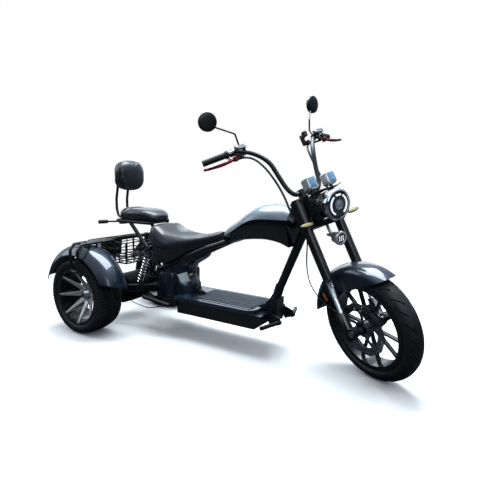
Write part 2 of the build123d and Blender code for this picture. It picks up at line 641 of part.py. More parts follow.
# X, half width, bottom, top, corner
PILLION = [
    (24, 84, pillion_z0 + 4, PILLION_Z1 - 24, 14),
    (44, 102, pillion_z0, PILLION_Z1 - 8, 24),
    (120, 110, pillion_z0, PILLION_Z1 - 2, 28),
    (230, 110, pillion_z0, PILLION_Z1 - 2, 28),
    (300, 96, pillion_z0, PILLION_Z1 - 12, 22),
    (334, 66, pillion_z0 + 4, PILLION_Z1 - 32, 12),
]
nodes["passenger_seat"] = hull_of(PILLION)

BACK_Y, BACK_R = 49.0, 9.0
PAD_BACK_X, PAD_FRONT_X = -18.0, 68.0
BACKREST_HALF = 112.0
BACKREST_Z0, BACKREST_Z1 = 924.0, 1122.0
back_points = [(SEAT_RAIL_X0 + 14, SEAT_RAIL_Z + 13), (-38, 742), (-53, 790), (-54, 856), (-38, 940),
               (-38, 1050)]
frame_bars = []
for side in (-1, 1):
    frame_bars.append(bent_tube([(x, side * BACK_Y, z) for x, z in back_points], BACK_R, 26))
back_plate = box(-38, PAD_BACK_X - FIT_GAP, -BACK_Y - 16, BACK_Y + 16, 962, 1052)
back_frame = fused(frame_bars[0], frame_bars[1], back_plate)
nodes["backrest_frame"] = back_frame - seat_struts

pad = Pos((PAD_BACK_X + PAD_FRONT_X) / 2, 0, (BACKREST_Z0 + BACKREST_Z1) / 2) * Rot(0, 90, 0) * (
    extrude(RectangleRounded(BACKREST_Z1 - BACKREST_Z0, 2 * BACKREST_HALF, 58),
            (PAD_FRONT_X - PAD_BACK_X) / 2, both=True))
pad = fillet(pad.edges().group_by(Axis.X)[-1], 26)
pad = fillet(pad.edges().group_by(Axis.X)[0], 16)
nodes["backrest_pad"] = pad

# ---- rear lamps and plate bracket -----------------------------------------------------------------------
lamp_z = SEAT_RAIL_Z - 8
tail = box(-46, SEAT_RAIL_X0 - 2 - FIT_GAP, -40, 40, lamp_z - 22, lamp_z + 16)
tail = fillet(tail.edges().filter_by(Axis.Y), 6)
rear_lamps = tail
for side in (-1, 1):
    rear_lamps += rod((-30, side * 38, lamp_z - 4), (-66, side * 132, lamp_z), 6)
    bulb = rod((-66, side * 128, lamp_z), (-74, side * 192, lamp_z + 1), 13)
    rear_lamps += bulb
rear_lamps -= nodes["backrest_frame"]
rear_lamps -= seat_struts
nodes["rear_lamps"] = rear_lamps.solids().sort_by(SortBy.VOLUME)[-1]

PLATE_HALF_Y, PLATE_H, PLATE_T = 92.0, 130.0, 3.0
PLATE_HOLE_R = 3.5
PLATE_SPACING_Y, PLATE_SPACING_Z = 150.0, 80.0
plate_x = RACK_TAIL_X - LOOP_R - 14
plate_z1 = loop_z - 26 - LOOP_R
plate_mid_z = plate_z1 - PLATE_H / 2
bracket = box(plate_x - PLATE_T, plate_x, -PLATE_HALF_Y, PLATE_HALF_Y, plate_z1 - PLATE_H, plate_z1)
bracket += box(plate_x - PLATE_T, RACK_TAIL_X, -30, 30, plate_z1 - PLATE_T, plate_z1 + 6)
for sy in (-1, 1):
    for sz in (-1, 1):
        y, z = sy * PLATE_SPACING_Y / 2, plate_mid_z + sz * PLATE_SPACING_Z / 2
        bracket -= rod((plate_x - 20, y, z), (plate_x + 20, y, z), PLATE_HOLE_R)
nodes["plate_bracket"] = bracket - rod((RACK_TAIL_X, -300, loop_z - 26), (RACK_TAIL_X, 300, loop_z - 26),
                                       LOOP_R + FIT_GAP)

# ---- folded passenger pegs -------------------------------------------------------------------------------
rear_pegs = []
for side in (-1, 1):
    inner = FLOOR_HALF + FIT_GAP
    low, high = sorted((side * inner, side * (inner + 8)))
    ear = plate([(470, rail_z0 - 16), (470, rail_z1), (590, rail_z1), (590, rail_z0 - 16),
                 (560, 200), (500, 200)], low, high)
    peg = rod((540, side * (inner + 20), 212), (330, side * (inner + 34), 238), 13)
    peg += rod((540, side * inner, 212), (540, side * (inner + 24), 212), 10)
    rear_pegs.append(ear + peg)
nodes["rear_foot_pegs"] = Compound(children=rear_pegs)

# ---- steering group, drawn in A, B, C -----------------------------------------------------------------------
steer_nodes = {}
clamp_outline = Pos(-FORK_OFFSET, 0) * Circle(HEAD_R + 7)
for side in (-1, 1):
    clamp_outline += Pos(LEG_A, side * LEG_B) * Circle(LEG_R + 9)
clamp_face = make_hull(clamp_outline.edges())
CLAMP_LOW, CLAMP_HIGH, CLAMP_T = 556.0, 696.0, 26.0
stem = Pos(-FORK_OFFSET, 0, 0) * rod((0, 0, CLAMP_LOW), (0, 0, CLAMP_HIGH + CLAMP_T - 4), STEM_R)
stem += Pos(0, 0, CLAMP_LOW) * extrude(clamp_face, CLAMP_T)
stem += Pos(0, 0, CLAMP_HIGH) * extrude(clamp_face, CLAMP_T - 6)
RACE_R = 23.0
stem += rod((-FORK_OFFSET, 0, CLAMP_LOW), (-FORK_OFFSET, 0, HEAD_C0 - FIT_GAP), RACE_R)
stem += rod((-FORK_OFFSET, 0, HEAD_C1 + FIT_GAP), (-FORK_OFFSET, 0, CLAMP_HIGH + 4), RACE_R)
stem += rod((-FORK_OFFSET, 0, CLAMP_HIGH), (-FORK_OFFSET, 0, CLAMP_HIGH + CLAMP_T + 2), 19)
clamp_top = CLAMP_HIGH + CLAMP_T - 6
BAR_A, BAR_C = -60.0, 756.0
RISER_B = 40.0
for side in (-1, 1):
    low, high = sorted((side * (RISER_B - 13), side * (RISER_B + 13)))
    stem += box(BAR_A - 20, BAR_A + 20, low, high, clamp_top - 2, BAR_C + 20)

# handlebar, right half of the path: A, B, C
GRIP_END = (-220.0, 440.0, 1086.0)
BAR_PATH = [
    GRIP_END, (-131, 277, 1083), (-99, 208, 1048), (-63, 147, 968), (-71, 131, 891),
    (-68, 106, 786), (BAR_A, 70, BAR_C),
]
right_half = [(a, -b, c) for a, b, c in BAR_PATH]
BAR_BEND = 52.0
bar = bent_tube(right_half + BAR_PATH[::-1], BAR_R, BAR_BEND)
steer_nodes["handlebar"] = bar
bar_hole = rod((BAR_A, -70, BAR_C), (BAR_A, 70, BAR_C), BAR_R + FIT_GAP)
for side in (-1, 1):
    stem -= rod((LEG_A, side * LEG_B, 500), (LEG_A, side * LEG_B, 800), LEG_R + FIT_GAP)
steer_nodes["steering_stem"] = stem - bar_hole

# fork: sleeves and upper tubes, then bright tubes and axle feet
uppers, lowers = [], []
for side in (-1, 1):
    b = side * LEG_B
    upper = rod((LEG_A, b, LEG_C0), (LEG_A, b, LEG_C1 + 10), LEG_R)
    upper += rod((LEG_A, b, CLAMP_LOW + CLAMP_T + FIT_GAP), (LEG_A, b, CLAMP_HIGH - FIT_GAP), SLEEVE_R)
    upper -= rod((LEG_A, b, LEG_C0 - 10), (LEG_A, b, LEG_C0 + 60), STANCHION_R + FIT_GAP)
    uppers.append(upper)
    lower = rod((LEG_A, b, FOOT_C1 - 20), (LEG_A, b, LEG_C0 + 55), STANCHION_R)
    lower += rod((LEG_A, b, -34), (LEG_A, b, FOOT_C1), FOOT_R)
    lower += box(LEG_A, 4, b - 18, b + 18, -22, 24)
    lower += rod((4, b - 18, 0), (4, b + 18, 0), 22)
    lower -= rod((0, b - 60, 0), (0, b + 60, 0), AXLE_R + FIT_GAP)
    lowers.append(lower)
steer_nodes["fork_uppers"] = Compound(children=uppers)
steer_nodes["fork_lowers"] = Compound(children=lowers)

# front spindle with its spacers and nuts
foot_in, foot_out = LEG_B - 18, LEG_B + 18
spindle = rod((0, -foot_out - 4, 0), (0, foot_out + 4, 0), AXLE_R)
for side in (-1, 1):
    hub_end = FRONT_HUB_HALF + (DISC_T if side < 0 else 0) + FIT_GAP
    spindle += rod((0, side * hub_end, 0), (0, side * (foot_in - FIT_GAP), 0), 15)
    spindle += rod((0, side * (foot_out + FIT_GAP), 0), (0, side * (foot_out + 12), 0), 15)
steer_nodes["front_axle"] = spindle

# instrument and headlight bracket, instruments
POD = 58.0
POD_A0, POD_A1 = 30.0, 86.0
POD_B = 64.0
POD_STAND = 15.0            # posts between the shelf and the pods
SHELF_T = 6.0
shelf_c0 = clamp_top + FIT_GAP
POD_C0 = shelf_c0 + SHELF_T + POD_STAND
ear_in = LAMP_R + 4
holder = box(-28, POD_A1 - 8, -28, 28, shelf_c0, shelf_c0 + 6)
holder += box(POD_A0 + 8, POD_A1 - 8, -POD_B - 24, POD_B + 24, shelf_c0, shelf_c0 + 6)
for side in (-1, 1):
    holder += rod((POD_A0 + 28, side * POD_B, shelf_c0), (POD_A0 + 28, side * POD_B, POD_C0 - FIT_GAP), 9)
    low, high = sorted((side * ear_in, side * (ear_in + 5)))
    holder += box(-20, 106, low, high, 612, shelf_c0 + 6) - box(40, 200, low - 1, high + 1, 652, 719)
    holder += box(POD_A0 + 8, 40, side * 84 - 6, side * 84 + 6, shelf_c0, shelf_c0 + 6)
for side in (-1, 1):
    holder -= rod((LEG_A, side * LEG_B, 500), (LEG_A, side * LEG_B, 800), SLEEVE_R + FIT_GAP)
holder -= Pos(0, 0, CLAMP_HIGH - 1) * extrude(clamp_face, CLAMP_T - 6 + 1 + FIT_GAP)
holder = holder.solids().sort_by(SortBy.VOLUME)[-1]
steer_nodes["lamp_bracket"] = holder

pods = []
for side in (-1, 1):
    pod = box(POD_A0, POD_A1, side * POD_B - POD / 2, side * POD_B + POD / 2, POD_C0, POD_C0 + POD)
    pod = fillet(pod.edges().filter_by(Axis.X), 10)
    pods.append(fillet(pod.edges().group_by(Axis.X)[0], 8))
steer_nodes["instruments"] = Compound(children=pods)

# headlight and spot lamp face level ahead of the steered wheel
level = Vector(cos(rake), 0, -sin(rake))


def lamp_body(front, radius, outline):
    """Turned lamp body: depth behind the ring and radius, ending on the axis."""
    points = [(r, -depth) for depth, r in outline]
    points = [(0, points[0][1])] + points + [(0, points[-1][1])]
    turned_body = revolve(make_face(Polyline(*points, close=True)), Axis.Y)
    plane = Plane(origin=front, x_dir=(0, 1, 0), z_dir=level)
    return plane.location * Rot(90, 0, 0) * turned_body


HEAD_LAMP = (125.0, 0.0, 614.0)
SPOT_R = 36.0
SPOT = (48.0, 0.0, 456.0)
headlight = lamp_body(HEAD_LAMP, LAMP_R, [
    (-4, LAMP_R - 14), (0, LAMP_R - 2), (6, LAMP_R), (16, LAMP_R), (40, LAMP_R - 3),
    (62, LAMP_R - 14), (80, LAMP_R - 36), (88, 24)])
EAR_DEPTH = 28.0
lamp_side = Vector(*HEAD_LAMP) - level * EAR_DEPTH
for side in (-1, 1):
    headlight += rod((lamp_side.X, side * (LAMP_R - 8), lamp_side.Z),
                     (lamp_side.X, side * (ear_in - FIT_GAP), lamp_side.Z), 9)
steer_nodes["headlight"] = headlight

spot = lamp_body(SPOT, SPOT_R, [
    (-2, SPOT_R - 8), (0, SPOT_R), (14, SPOT_R), (20, SPOT_R - 6), (44, SPOT_R - 8), (56, 14)])
spot += rod((SPOT[0] - 34, 0, SPOT[2] + 16), (-15, 0, CLAMP_LOW - 40), 8)
spot += rod((-15, 0, CLAMP_LOW - 44), (-15, 0, CLAMP_LOW - FIT_GAP), 8)
steer_nodes["spot_lamp"] = spot

# front signals on stalks from the lower clamp
signals = []
for side in (-1, 1):
    stalk = rod((LEG_A, side * LEG_B, 569), (35, side * 120, 574), 5)
    stalk -= rod((LEG_A, side * LEG_B, 500), (LEG_A, side * LEG_B, 600), LEG_R + 9 + FIT_GAP)
    stalk += rod((35, side * 120, 574), (35, side * 200, 578), 12)
    signals.append(stalk)
steer_nodes["front_signals"] = Compound(children=signals)

# grips with their switch housings, levers with reservoirs, mirrors
end = Vector(*GRIP_END)
bend_point = Vector(*BAR_PATH[1])
inward = (bend_point - end).normalized()
GRIP_LEN, SWITCH_LEN = 122.0, 20.0
MASTER_AT, MASTER_LEN = 146.0, 22.0
MIRROR_R = 50.0
MIRROR_TURN = 15.0          # each mirror turned outwards
grips, levers, mirrors = [], [], []
grip = rod(end - inward * 4, end + inward * GRIP_LEN, GRIP_R)
grip += rod(end + inward * GRIP_LEN, end + inward * (GRIP_LEN + SWITCH_LEN), GRIP_R + 5)
grip -= rod(end, end + inward * 200, BAR_R + FIT_GAP)
mirror_root = (Vector(*BAR_PATH[1]) + Vector(*BAR_PATH[2])) / 2
bar_run = (Vector(*BAR_PATH[1]) - Vector(*BAR_PATH[2])).normalized()
COLLAR_HALF, COLLAR_R = 9.0, BAR_R + 6


def mirror_collar(clearance):
    reach = bar_run * (COLLAR_HALF + clearance)
    return rod(mirror_root - reach, mirror_root + reach, COLLAR_R + clearance)


lever_tip = Vector(-156, 460, 1027)
pivot = Vector(-106, 270, 1042)
knuckle = Vector(-113, 318, 1034)
lever = bent_tube([pivot, knuckle, lever_tip], 6, 30)
master = rod(end + inward * MASTER_AT, end + inward * (MASTER_AT + MASTER_LEN), GRIP_R + 3)
master_mid = end + inward * (MASTER_AT + MASTER_LEN / 2)
master += rod(master_mid, pivot, 9)
master += rod(pivot - Vector(0, 0, 10), pivot + Vector(0, 0, 10), 11)
# fluid reservoir: a flat tank lying along the bar
RESERVOIR_HALF = (15.0, 32.0, 9.0)
reservoir_mid = Vector(-94, 268, 1088)
master += rod(master_mid, reservoir_mid, 9)
lying = Box(*[2 * half for half in RESERVOIR_HALF])
lying = fillet(lying.edges().filter_by(Axis.Z), 9)
master += Pos(reservoir_mid) * lying
lever = lever + master - bent_tube(BAR_PATH, BAR_R + FIT_GAP, BAR_BEND) - mirror_collar(FIT_GAP)
MIRROR = Vector(-152, 363, 1281)
stalk = bent_tube([mirror_root, (-133, 246, 1117), (-111, 257, 1172), MIRROR + Vector(-7, -20, -24)], 5, 14)
glass_plane = Plane(origin=MIRROR, z_dir=level.rotate(Axis.Z, MIRROR_TURN))
head_shape = glass_plane.location * Pos(0, 0, 1) * Cylinder(MIRROR_R, 16)
looking_glass = mirror_collar(0) + stalk + head_shape - rod(
    mirror_root - bar_run * 20, mirror_root + bar_run * 20, BAR_R + FIT_GAP)
steer_nodes["grips"] = Compound(children=mirrored(grip))
steer_nodes["control_levers"] = Compound(children=mirrored(lever))
steer_nodes["mirrors"] = Compound(children=mirrored(looking_glass))

# front fender: a shell around the tyre, its skirts cut level ahead of the legs
FRONT_FENDER_R = 343.0
FENDER_SHIFT = (-16.0, 0.0, -12.0)   # its centre, from the axle
FRONT_FENDER_HALF = 77.0
# radius and distance from the middle
FRONT_FENDER = [
    (212, FRONT_FENDER_HALF), (290, FRONT_FENDER_HALF - 1), (322, FRONT_FENDER_HALF - 12),
    (338, FRONT_FENDER_HALF - 34), (FRONT_FENDER_R, 0), (338, 34 - FRONT_FENDER_HALF),
    (322, 12 - FRONT_FENDER_HALF), (290, 1 - FRONT_FENDER_HALF), (212, -FRONT_FENDER_HALF),
]
FF_FROM, FF_TO = 30.0, 158.0
front_fender = revolve(make_face(Polyline(*fender_skin(FRONT_FENDER, 3.0), close=True)), Axis.Y,
                       FF_TO - FF_FROM)
front_fender = Pos(*FENDER_SHIFT) * Rot(0, -FF_TO, 0) * front_fender
FENDER_EDGE_C = 202.0
front_fender -= box(-20, 400, -100, 100, -100, FENDER_EDGE_C)
slope_start = Vector(-20, 0, FENDER_EDGE_C + 10)
front_fender -= Pos(slope_start) * Rot(0, -14, 0) * Pos(-250, 0, -150) * Box(500, 200, 300)
boss_c = 318.0
for side in (-1, 1):
    front_fender += rod((LEG_A, side * (FRONT_FENDER_HALF - 16), boss_c),
                        (LEG_A, side * (LEG_B - LEG_R + 4), boss_c), 12)
    front_fender -= rod((LEG_A, side * LEG_B, 200), (LEG_A, side * LEG_B, 500), LEG_R + FIT_GAP)
steer_nodes["front_fender"] = front_fender.solids().sort_by(SortBy.VOLUME)[-1]

# caliper astride the front of the disc, its bracket reaching back to the right foot
disc_mid_b = -FRONT_HUB_HALF - DISC_T / 2
PAD_GAP = 5.0
cal_out = -LEG_B + FOOT_R + FIT_GAP
side_out, side_in = disc_mid_b - DISC_T / 2 - PAD_GAP, disc_mid_b + DISC_T / 2 + PAD_GAP
cal_in = side_in + 9
CAL_R0, CAL_R1 = 88.0, 156.0
CAL_FROM, CAL_TO = -10.0, 56.0
body_ring = [(CAL_R0, cal_out), (CAL_R1, cal_out), (CAL_R1, cal_in), (CAL_R0 + 16, cal_in),
             (CAL_R0 + 16, side_in), (DISC_R + PAD_GAP, side_in), (DISC_R + PAD_GAP, side_out),
             (CAL_R0, side_out)]
arm_ring = [(100, cal_out), (136, cal_out), (136, cal_out + 8), (100, cal_out + 8)]
ARM_TO = 114.0
caliper = Rot(0, -CAL_TO, 0) * revolve(make_face(Polyline(*body_ring, close=True)), Axis.Y,
                                       CAL_TO - CAL_FROM)
caliper += Rot(0, -ARM_TO, 0) * revolve(make_face(Polyline(*arm_ring, close=True)), Axis.Y,
                                        ARM_TO - CAL_TO + 4)
steer_nodes["front_caliper"] = caliper

# hose from the lower clamp to the caliper, looms along the bars: routes in A, B, C
HOSE_R = 3.5
HOSE = [
    (-74, -93, 554), (-108, -95, 492), (-160, -96, 430), (-202, -96, 362), (-222, -95, 294),
    (-210, -93, 232), (-178, -91, 176), (-130, -87, 128), (-78, -81, 96), (-51, -80, 106.6),
]
LOOM_R = 6.0
LOOM = [
    (-160, -322, 1055), (-158, -280, 1048), (-152, -228, 1050), (-138, -184, 1026),
    (-112, -160, 960), (-94, -149, 890), (-80, -144, 826), (-68, -145, 762), (-64, -149, 700),
    (-64, -149, 650),
]


def cord(points, radius):
    """A tube along a cord's route, each arc as large as its two runs allow."""
    points = [Vector(*p) for p in points]
    radii = []
    for before, here, after in zip(points, points[1:], points[2:]):
        half_turn = radians((here - before).get_angle(after - here)) / 2
        shorter = min((here - before).length, (after - here).length)
        radii.append(0.45 * shorter / tan(half_turn))
    print("cord radii", [round(r) for r in radii])
    path = FilletPolyline(*points, radius=radii)
    plane = Plane(origin=points[0], z_dir=points[1] - points[0])
    tube = sweep(plane * Circle(radius), path=path)
    print("cord length", round(path.length), "volume share", round(
        tube.volume / (pi * radius ** 2 * path.length), 3))
    return tube


steer_nodes["brake_hose"] = cord(HOSE, HOSE_R)
steer_nodes["bar_loom_right"] = cord(LOOM, LOOM_R)
steer_nodes["bar_loom_left"] = cord([(a, -b, c) for a, b, c in LOOM], LOOM_R)

# ---- front wheel -------------------------------------------------------------------------------------------
steer_nodes["front_tyre"] = tyre(FRONT_R, FRONT_W, FRONT_BEAD_R, FRONT_RIM_HALF, FRONT_CROWN_R)
steer_nodes["front_rim"] = front_rim()
steer_nodes["front_disc"] = front_disc()

for name, shape in steer_nodes.items():
    nodes[name] = steering.location * shape

# rear brake cable from the drive forward under the floor
CABLE_R = 3.0
CABLE = [
    (93.9, -84, 159.7), (118, -86, 143), (168, -91, 139), (222, -97, 134), (278, -104, 134),
    (334, -110, 145), (388, -115, 162), (438, -119, 172), (478, -121, 190), (478, -122, 225.5),
]
nodes["rear_brake_cable"] = cord(CABLE, CABLE_R)

# ---- set down ------------------------------------------------------------------------------------
# the origin moves to the ground under the middle of the whole trike
cords = {"brake_hose", "bar_loom_right", "bar_loom_left", "rear_brake_cable"}
boxes = [shape.bounding_box() for name, shape in nodes.items() if name not in cords]
centre_x = (min(b.min.X for b in boxes) + max(b.max.X for b in boxes)) / 2
os.makedirs("parts", exist_ok=True)
for name, shape in nodes.items():
    export_step(Pos(-centre_x, 0, 0) * shape, f"parts/{name}.step")
print("centre_x", round(centre_x, 2), "lowest", round(min(b.min.Z for b in boxes), 3))
print("size", [round(max(getattr(b.max, k) for b in boxes) - min(getattr(b.min, k) for b in boxes), 1)
               for k in "XYZ"])
print("plate", plate_x, plate_mid_z)
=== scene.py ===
import json
from math import asin, atan2, cos, hypot, pi, radians, sin, tan

import bmesh
import bpy
from mathutils import Matrix, Vector


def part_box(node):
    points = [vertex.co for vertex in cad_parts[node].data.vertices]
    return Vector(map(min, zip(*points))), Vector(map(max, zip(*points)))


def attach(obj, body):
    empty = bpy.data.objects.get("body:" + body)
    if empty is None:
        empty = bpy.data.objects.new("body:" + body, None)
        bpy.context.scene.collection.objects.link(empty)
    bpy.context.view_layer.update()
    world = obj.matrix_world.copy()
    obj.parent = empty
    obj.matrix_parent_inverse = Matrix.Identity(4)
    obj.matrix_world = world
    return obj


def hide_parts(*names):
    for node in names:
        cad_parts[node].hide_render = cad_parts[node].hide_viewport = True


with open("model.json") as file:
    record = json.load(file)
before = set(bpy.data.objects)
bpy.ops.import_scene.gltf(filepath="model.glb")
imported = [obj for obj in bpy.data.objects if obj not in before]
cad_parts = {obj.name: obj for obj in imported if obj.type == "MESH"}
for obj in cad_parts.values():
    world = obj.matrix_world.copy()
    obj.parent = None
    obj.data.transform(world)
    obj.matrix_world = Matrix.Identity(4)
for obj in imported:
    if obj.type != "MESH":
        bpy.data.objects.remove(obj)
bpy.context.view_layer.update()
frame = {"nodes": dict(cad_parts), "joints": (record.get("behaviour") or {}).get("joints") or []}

# ---- where things are
# The trike is measured in millimetres from the ground under the rear axle. What turns with the
# bars is measured from the middle of the front axle: ahead, to the left, and up the steering
# axis.
axle_low, axle_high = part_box("rear_axle")
rear_x = (axle_low.x + axle_high.x) / 2
joints = {joint["name"]: joint for joint in frame["joints"]}
hub = Vector(joints["front_wheel_spin"]["pos_m"])
left = Vector(joints["front_wheel_spin"]["axis"])
up_fork = Vector(joints["steer"]["axis"])
ahead = left.cross(up_fork)
fork_frame = Matrix.Translation(hub) @ Matrix((ahead, left, up_fork)).transposed().to_4x4()
trike_frame = Matrix.Translation((rear_x, 0, 0))

# ---- camera, light and floor
# A long pale floor, a dim room with a bright ceiling and far wall, and four soft boxes: gloss
# paint then shows a light top, a dark flank and a clean edge between them.
def shifted(place, x, y, z):
    """A place moved by millimetres along its own axes."""
    return place @ Matrix.Translation(Vector((x, y, z)) / 1000)


def shown(name, data):
    """A new object in the scene."""
    piece = bpy.data.objects.new(name, data)
    bpy.context.scene.collection.objects.link(piece)
    return piece


AZIMUTH, ELEVATION, ROLL = radians(32.3), radians(8.2), radians(0.6)
EYE = (2306.0, -2138.8, 1008.9)
LENS = 31.94
camera_data = bpy.data.cameras.new("camera")
camera_data.lens = LENS
camera_data.sensor_width = 36.0
camera = shown("camera", camera_data)
bpy.context.scene.camera = camera
back = Vector((sin(AZIMUTH) * cos(ELEVATION), -cos(AZIMUTH) * cos(ELEVATION), sin(ELEVATION)))
level_right = Vector((cos(AZIMUTH), sin(AZIMUTH), 0))
level_up = back.cross(level_right)
right = level_right * cos(ROLL) + level_up * sin(ROLL)
upward = level_up * cos(ROLL) - level_right * sin(ROLL)
camera.matrix_world = (
    shifted(trike_frame, *EYE) @ Matrix((right, upward, back)).transposed().to_4x4())
bpy.context.scene.view_settings.view_transform = "Standard"
bpy.context.scene.view_settings.look = "None"


def linear(hex_colour):
    """An sRGB hex colour as linear red, green, blue and alpha."""
    parts = [int(hex_colour[k:k + 2], 16) / 255 for k in (1, 3, 5)]
    return [c / 12.92 if c <= 0.04045 else ((c + 0.055) / 1.055) ** 2.4 for c in parts] + [1.0]


def add(tree, kind, inputs=(), **settings):
    """One node: its settings, and its sockets' values or the sockets they are linked to."""
    node = tree.nodes.new(kind)
    for name, value in settings.items():
        setattr(node, name, value)
    for key, value in dict(inputs).items():
        if isinstance(value, bpy.types.NodeSocket):
            tree.links.new(value, node.inputs[key])
        else:
            node.inputs[key].default_value = value
    return node


world = bpy.data.worlds.new("studio")
bpy.context.scene.world = world
world.use_nodes = True
sky = world.node_tree
sky.nodes.clear()
heading = add(sky, "ShaderNodeTexCoord")
split = add(sky, "ShaderNodeSeparateXYZ", {"Vector": heading.outputs["Generated"]})
height = add(
    sky, "ShaderNodeMapRange", {"Value": split.outputs["Z"], "From Min": -0.25, "From Max": 0.9})
dome = add(sky, "ShaderNodeValToRGB", {"Fac": height.outputs["Result"]})
dome.color_ramp.elements[0].color = linear("#141618")
dome.color_ramp.elements[1].color = linear("#ffffff")
for position, colour in ((0.22, "#1a1d20"), (0.34, "#3a4550"), (0.5, "#8397ab"), (0.72, "#dfe9f5")):
    dome.color_ramp.elements.new(position).color = linear(colour)
# Beyond the trike stands a bright wall: what faces up mirrors it and shows a pale top.
wall_way = add(
    sky, "ShaderNodeVectorMath", {0: heading.outputs["Generated"], 1: (-0.534, 0.845, 0.1)},
    operation="DOT_PRODUCT")
wall_share = add(
    sky, "ShaderNodeMapRange",
    {"Value": wall_way.outputs["Value"], "From Min": 0.1, "From Max": 0.75},
    interpolation_type="SMOOTHSTEP")
above = add(
    sky, "ShaderNodeMapRange", {"Value": split.outputs["Z"], "From Min": -0.02, "From Max": 0.06},
    interpolation_type="SMOOTHSTEP")
share = add(
    sky, "ShaderNodeMath", {0: wall_share.outputs["Result"], 1: above.outputs["Result"]},
    operation="MULTIPLY")
walled = add(
    sky, "ShaderNodeMix",
    {"Factor": share.outputs[0], 6: dome.outputs["Color"], 7: linear("#cdd9e6")}, data_type="RGBA")
seen = add(sky, "ShaderNodeBackground", {"Color": linear("#ffffff"), "Strength": 1.0})
lighting = add(sky, "ShaderNodeBackground", {"Color": walled.outputs[2], "Strength": 0.85})
ray = add(sky, "ShaderNodeLightPath")
both = add(
    sky, "ShaderNodeMixShader",
    {0: ray.outputs["Is Camera Ray"], 1: lighting.outputs[0], 2: seen.outputs[0]})
add(sky, "ShaderNodeOutputWorld", {"Surface": both.outputs[0]})


# Each box: its name, where it hangs and what it faces in metres, its size and its watts.
for name, at, aim, size, watts in (
        ("ceiling_box", (-0.3, 0.5, 3.6), (0, 0, 0.4), (3.4, 2.2), 300),
        ("wall_box", (-2.6, 4.4, 2.6), (0, 0, 0.6), (6.0, 2.0), 60),
        ("front_box", (3.6, -3.4, 2.6), (0, 0, 0.6), (2.4, 2.0), 36),
        ("tail_box", (-4.2, -1.6, 2.4), (0, 0, 0.6), (2.0, 2.0), 26)):
    data = bpy.data.lights.new(name, "AREA")
    data.shape, data.size, data.size_y = "RECTANGLE", size[0], size[1]
    data.energy = watts
    data.color = (0.84, 0.93, 1.0)
    lamp = shown(name, data)
    lamp.visible_camera = False
    lamp.location = at
    lamp.rotation_euler = (Vector(aim) - Vector(at)).to_track_quat("-Z", "Y").to_euler()


def finish(
        name, colour, second, clouds, roughness, metallic=0.0, sharp=0.5, relief=None, cells=False,
        stretch=(1, 1, 1), **sockets):
    """A material. Its colour drifts to a second one in clouds of a size in mm. Roughness is one
    value, or drifts from a low to a high one in clouds of its own size. Relief is the size and
    depth in mm of a noise, or of pebbled cells. Words in a socket's name are joined by _."""
    material = bpy.data.materials.new(name)
    material.use_nodes = True
    tree = material.node_tree
    shader = tree.nodes["Principled BSDF"]
    where = add(tree, "ShaderNodeTexCoord").outputs["Object"]
    drift = add(
        tree, "ShaderNodeTexNoise", {"Vector": where, "Scale": 1000 / clouds, "Detail": 4.0})
    share = add(
        tree, "ShaderNodeMapRange",
        {"Value": drift.outputs["Fac"], "From Min": 0.5 - sharp / 2, "From Max": 0.5 + sharp / 2})
    mix = add(
        tree, "ShaderNodeMix",
        {"Factor": share.outputs["Result"], 6: linear(colour), 7: linear(second)}, data_type="RGBA")
    shader.inputs["Base Color"].default_value = linear(colour)
    tree.links.new(mix.outputs[2], shader.inputs["Base Color"])
    if isinstance(roughness, tuple):
        low, high, size_mm = roughness
        wear = add(
            tree, "ShaderNodeTexNoise", {"Vector": where, "Scale": 1000 / size_mm, "Detail": 5.0})
        spread = add(
            tree, "ShaderNodeMapRange",
            {"Value": wear.outputs["Fac"], "From Min": 0.3, "From Max": 0.7, "To Min": low,
             "To Max": high})
        tree.links.new(spread.outputs["Result"], shader.inputs["Roughness"])
        roughness = (low + high) / 2
    shader.inputs["Roughness"].default_value = roughness
    shader.inputs["Metallic"].default_value = metallic
    for key, value in sockets.items():
        shader.inputs[key.replace("_", " ")].default_value = value
    if relief:
        size_mm, depth_mm = relief
        scaled = add(tree, "ShaderNodeMapping", {"Vector": where, "Scale": stretch}).outputs[0]
        if cells:
            height = add(
                tree, "ShaderNodeTexVoronoi", {"Vector": scaled, "Scale": 1000 / size_mm},
                feature="F1").outputs["Distance"]
        else:
            height = add(
                tree, "ShaderNodeTexNoise",
                {"Vector": scaled, "Scale": 1000 / size_mm, "Detail": 3.0}).outputs["Fac"]
        bump = add(
            tree, "ShaderNodeBump",
            {"Height": height, "Distance": depth_mm / 1000, "Strength": 1.0})
        tree.links.new(bump.outputs[0], shader.inputs["Normal"])
    return material


# Painted concrete: nearly white, a little uneven, so that it only takes a soft shadow.
# Away from the trike it runs out into the plain backdrop, and the paintwork mirrors it dark.
floor_paint = finish("floor_paint", "#f6f6f6", "#f1f1f1", 900, (0.5, 0.7, 400))
tree = floor_paint.node_tree
spot = add(tree, "ShaderNodeTexCoord")
reach = add(tree, "ShaderNodeVectorMath", {0: spot.outputs["Object"]}, operation="LENGTH")
fade = add(
    tree, "ShaderNodeMapRange", {"Value": reach.outputs["Value"], "From Min": 1.2, "From Max": 3.4},
    interpolation_type="SMOOTHSTEP")
blank = add(tree, "ShaderNodeEmission", {"Color": linear("#ffffff"), "Strength": 1.0})
pale = add(
    tree, "ShaderNodeMixShader",
    {0: fade.outputs["Result"], 1: tree.nodes["Principled BSDF"].outputs[0], 2: blank.outputs[0]})
dark = add(tree, "ShaderNodeBsdfDiffuse", {"Color": linear("#3a3d40")})
ray = add(tree, "ShaderNodeLightPath")
floor_mix = add(
    tree, "ShaderNodeMixShader",
    {0: ray.outputs["Is Camera Ray"], 1: dark.outputs[0], 2: pale.outputs[0]})
tree.links.new(floor_mix.outputs[0], tree.nodes["Material Output"].inputs["Surface"])
floor_mesh = bpy.data.meshes.new("floor")
FLOOR_REACH = 40.0
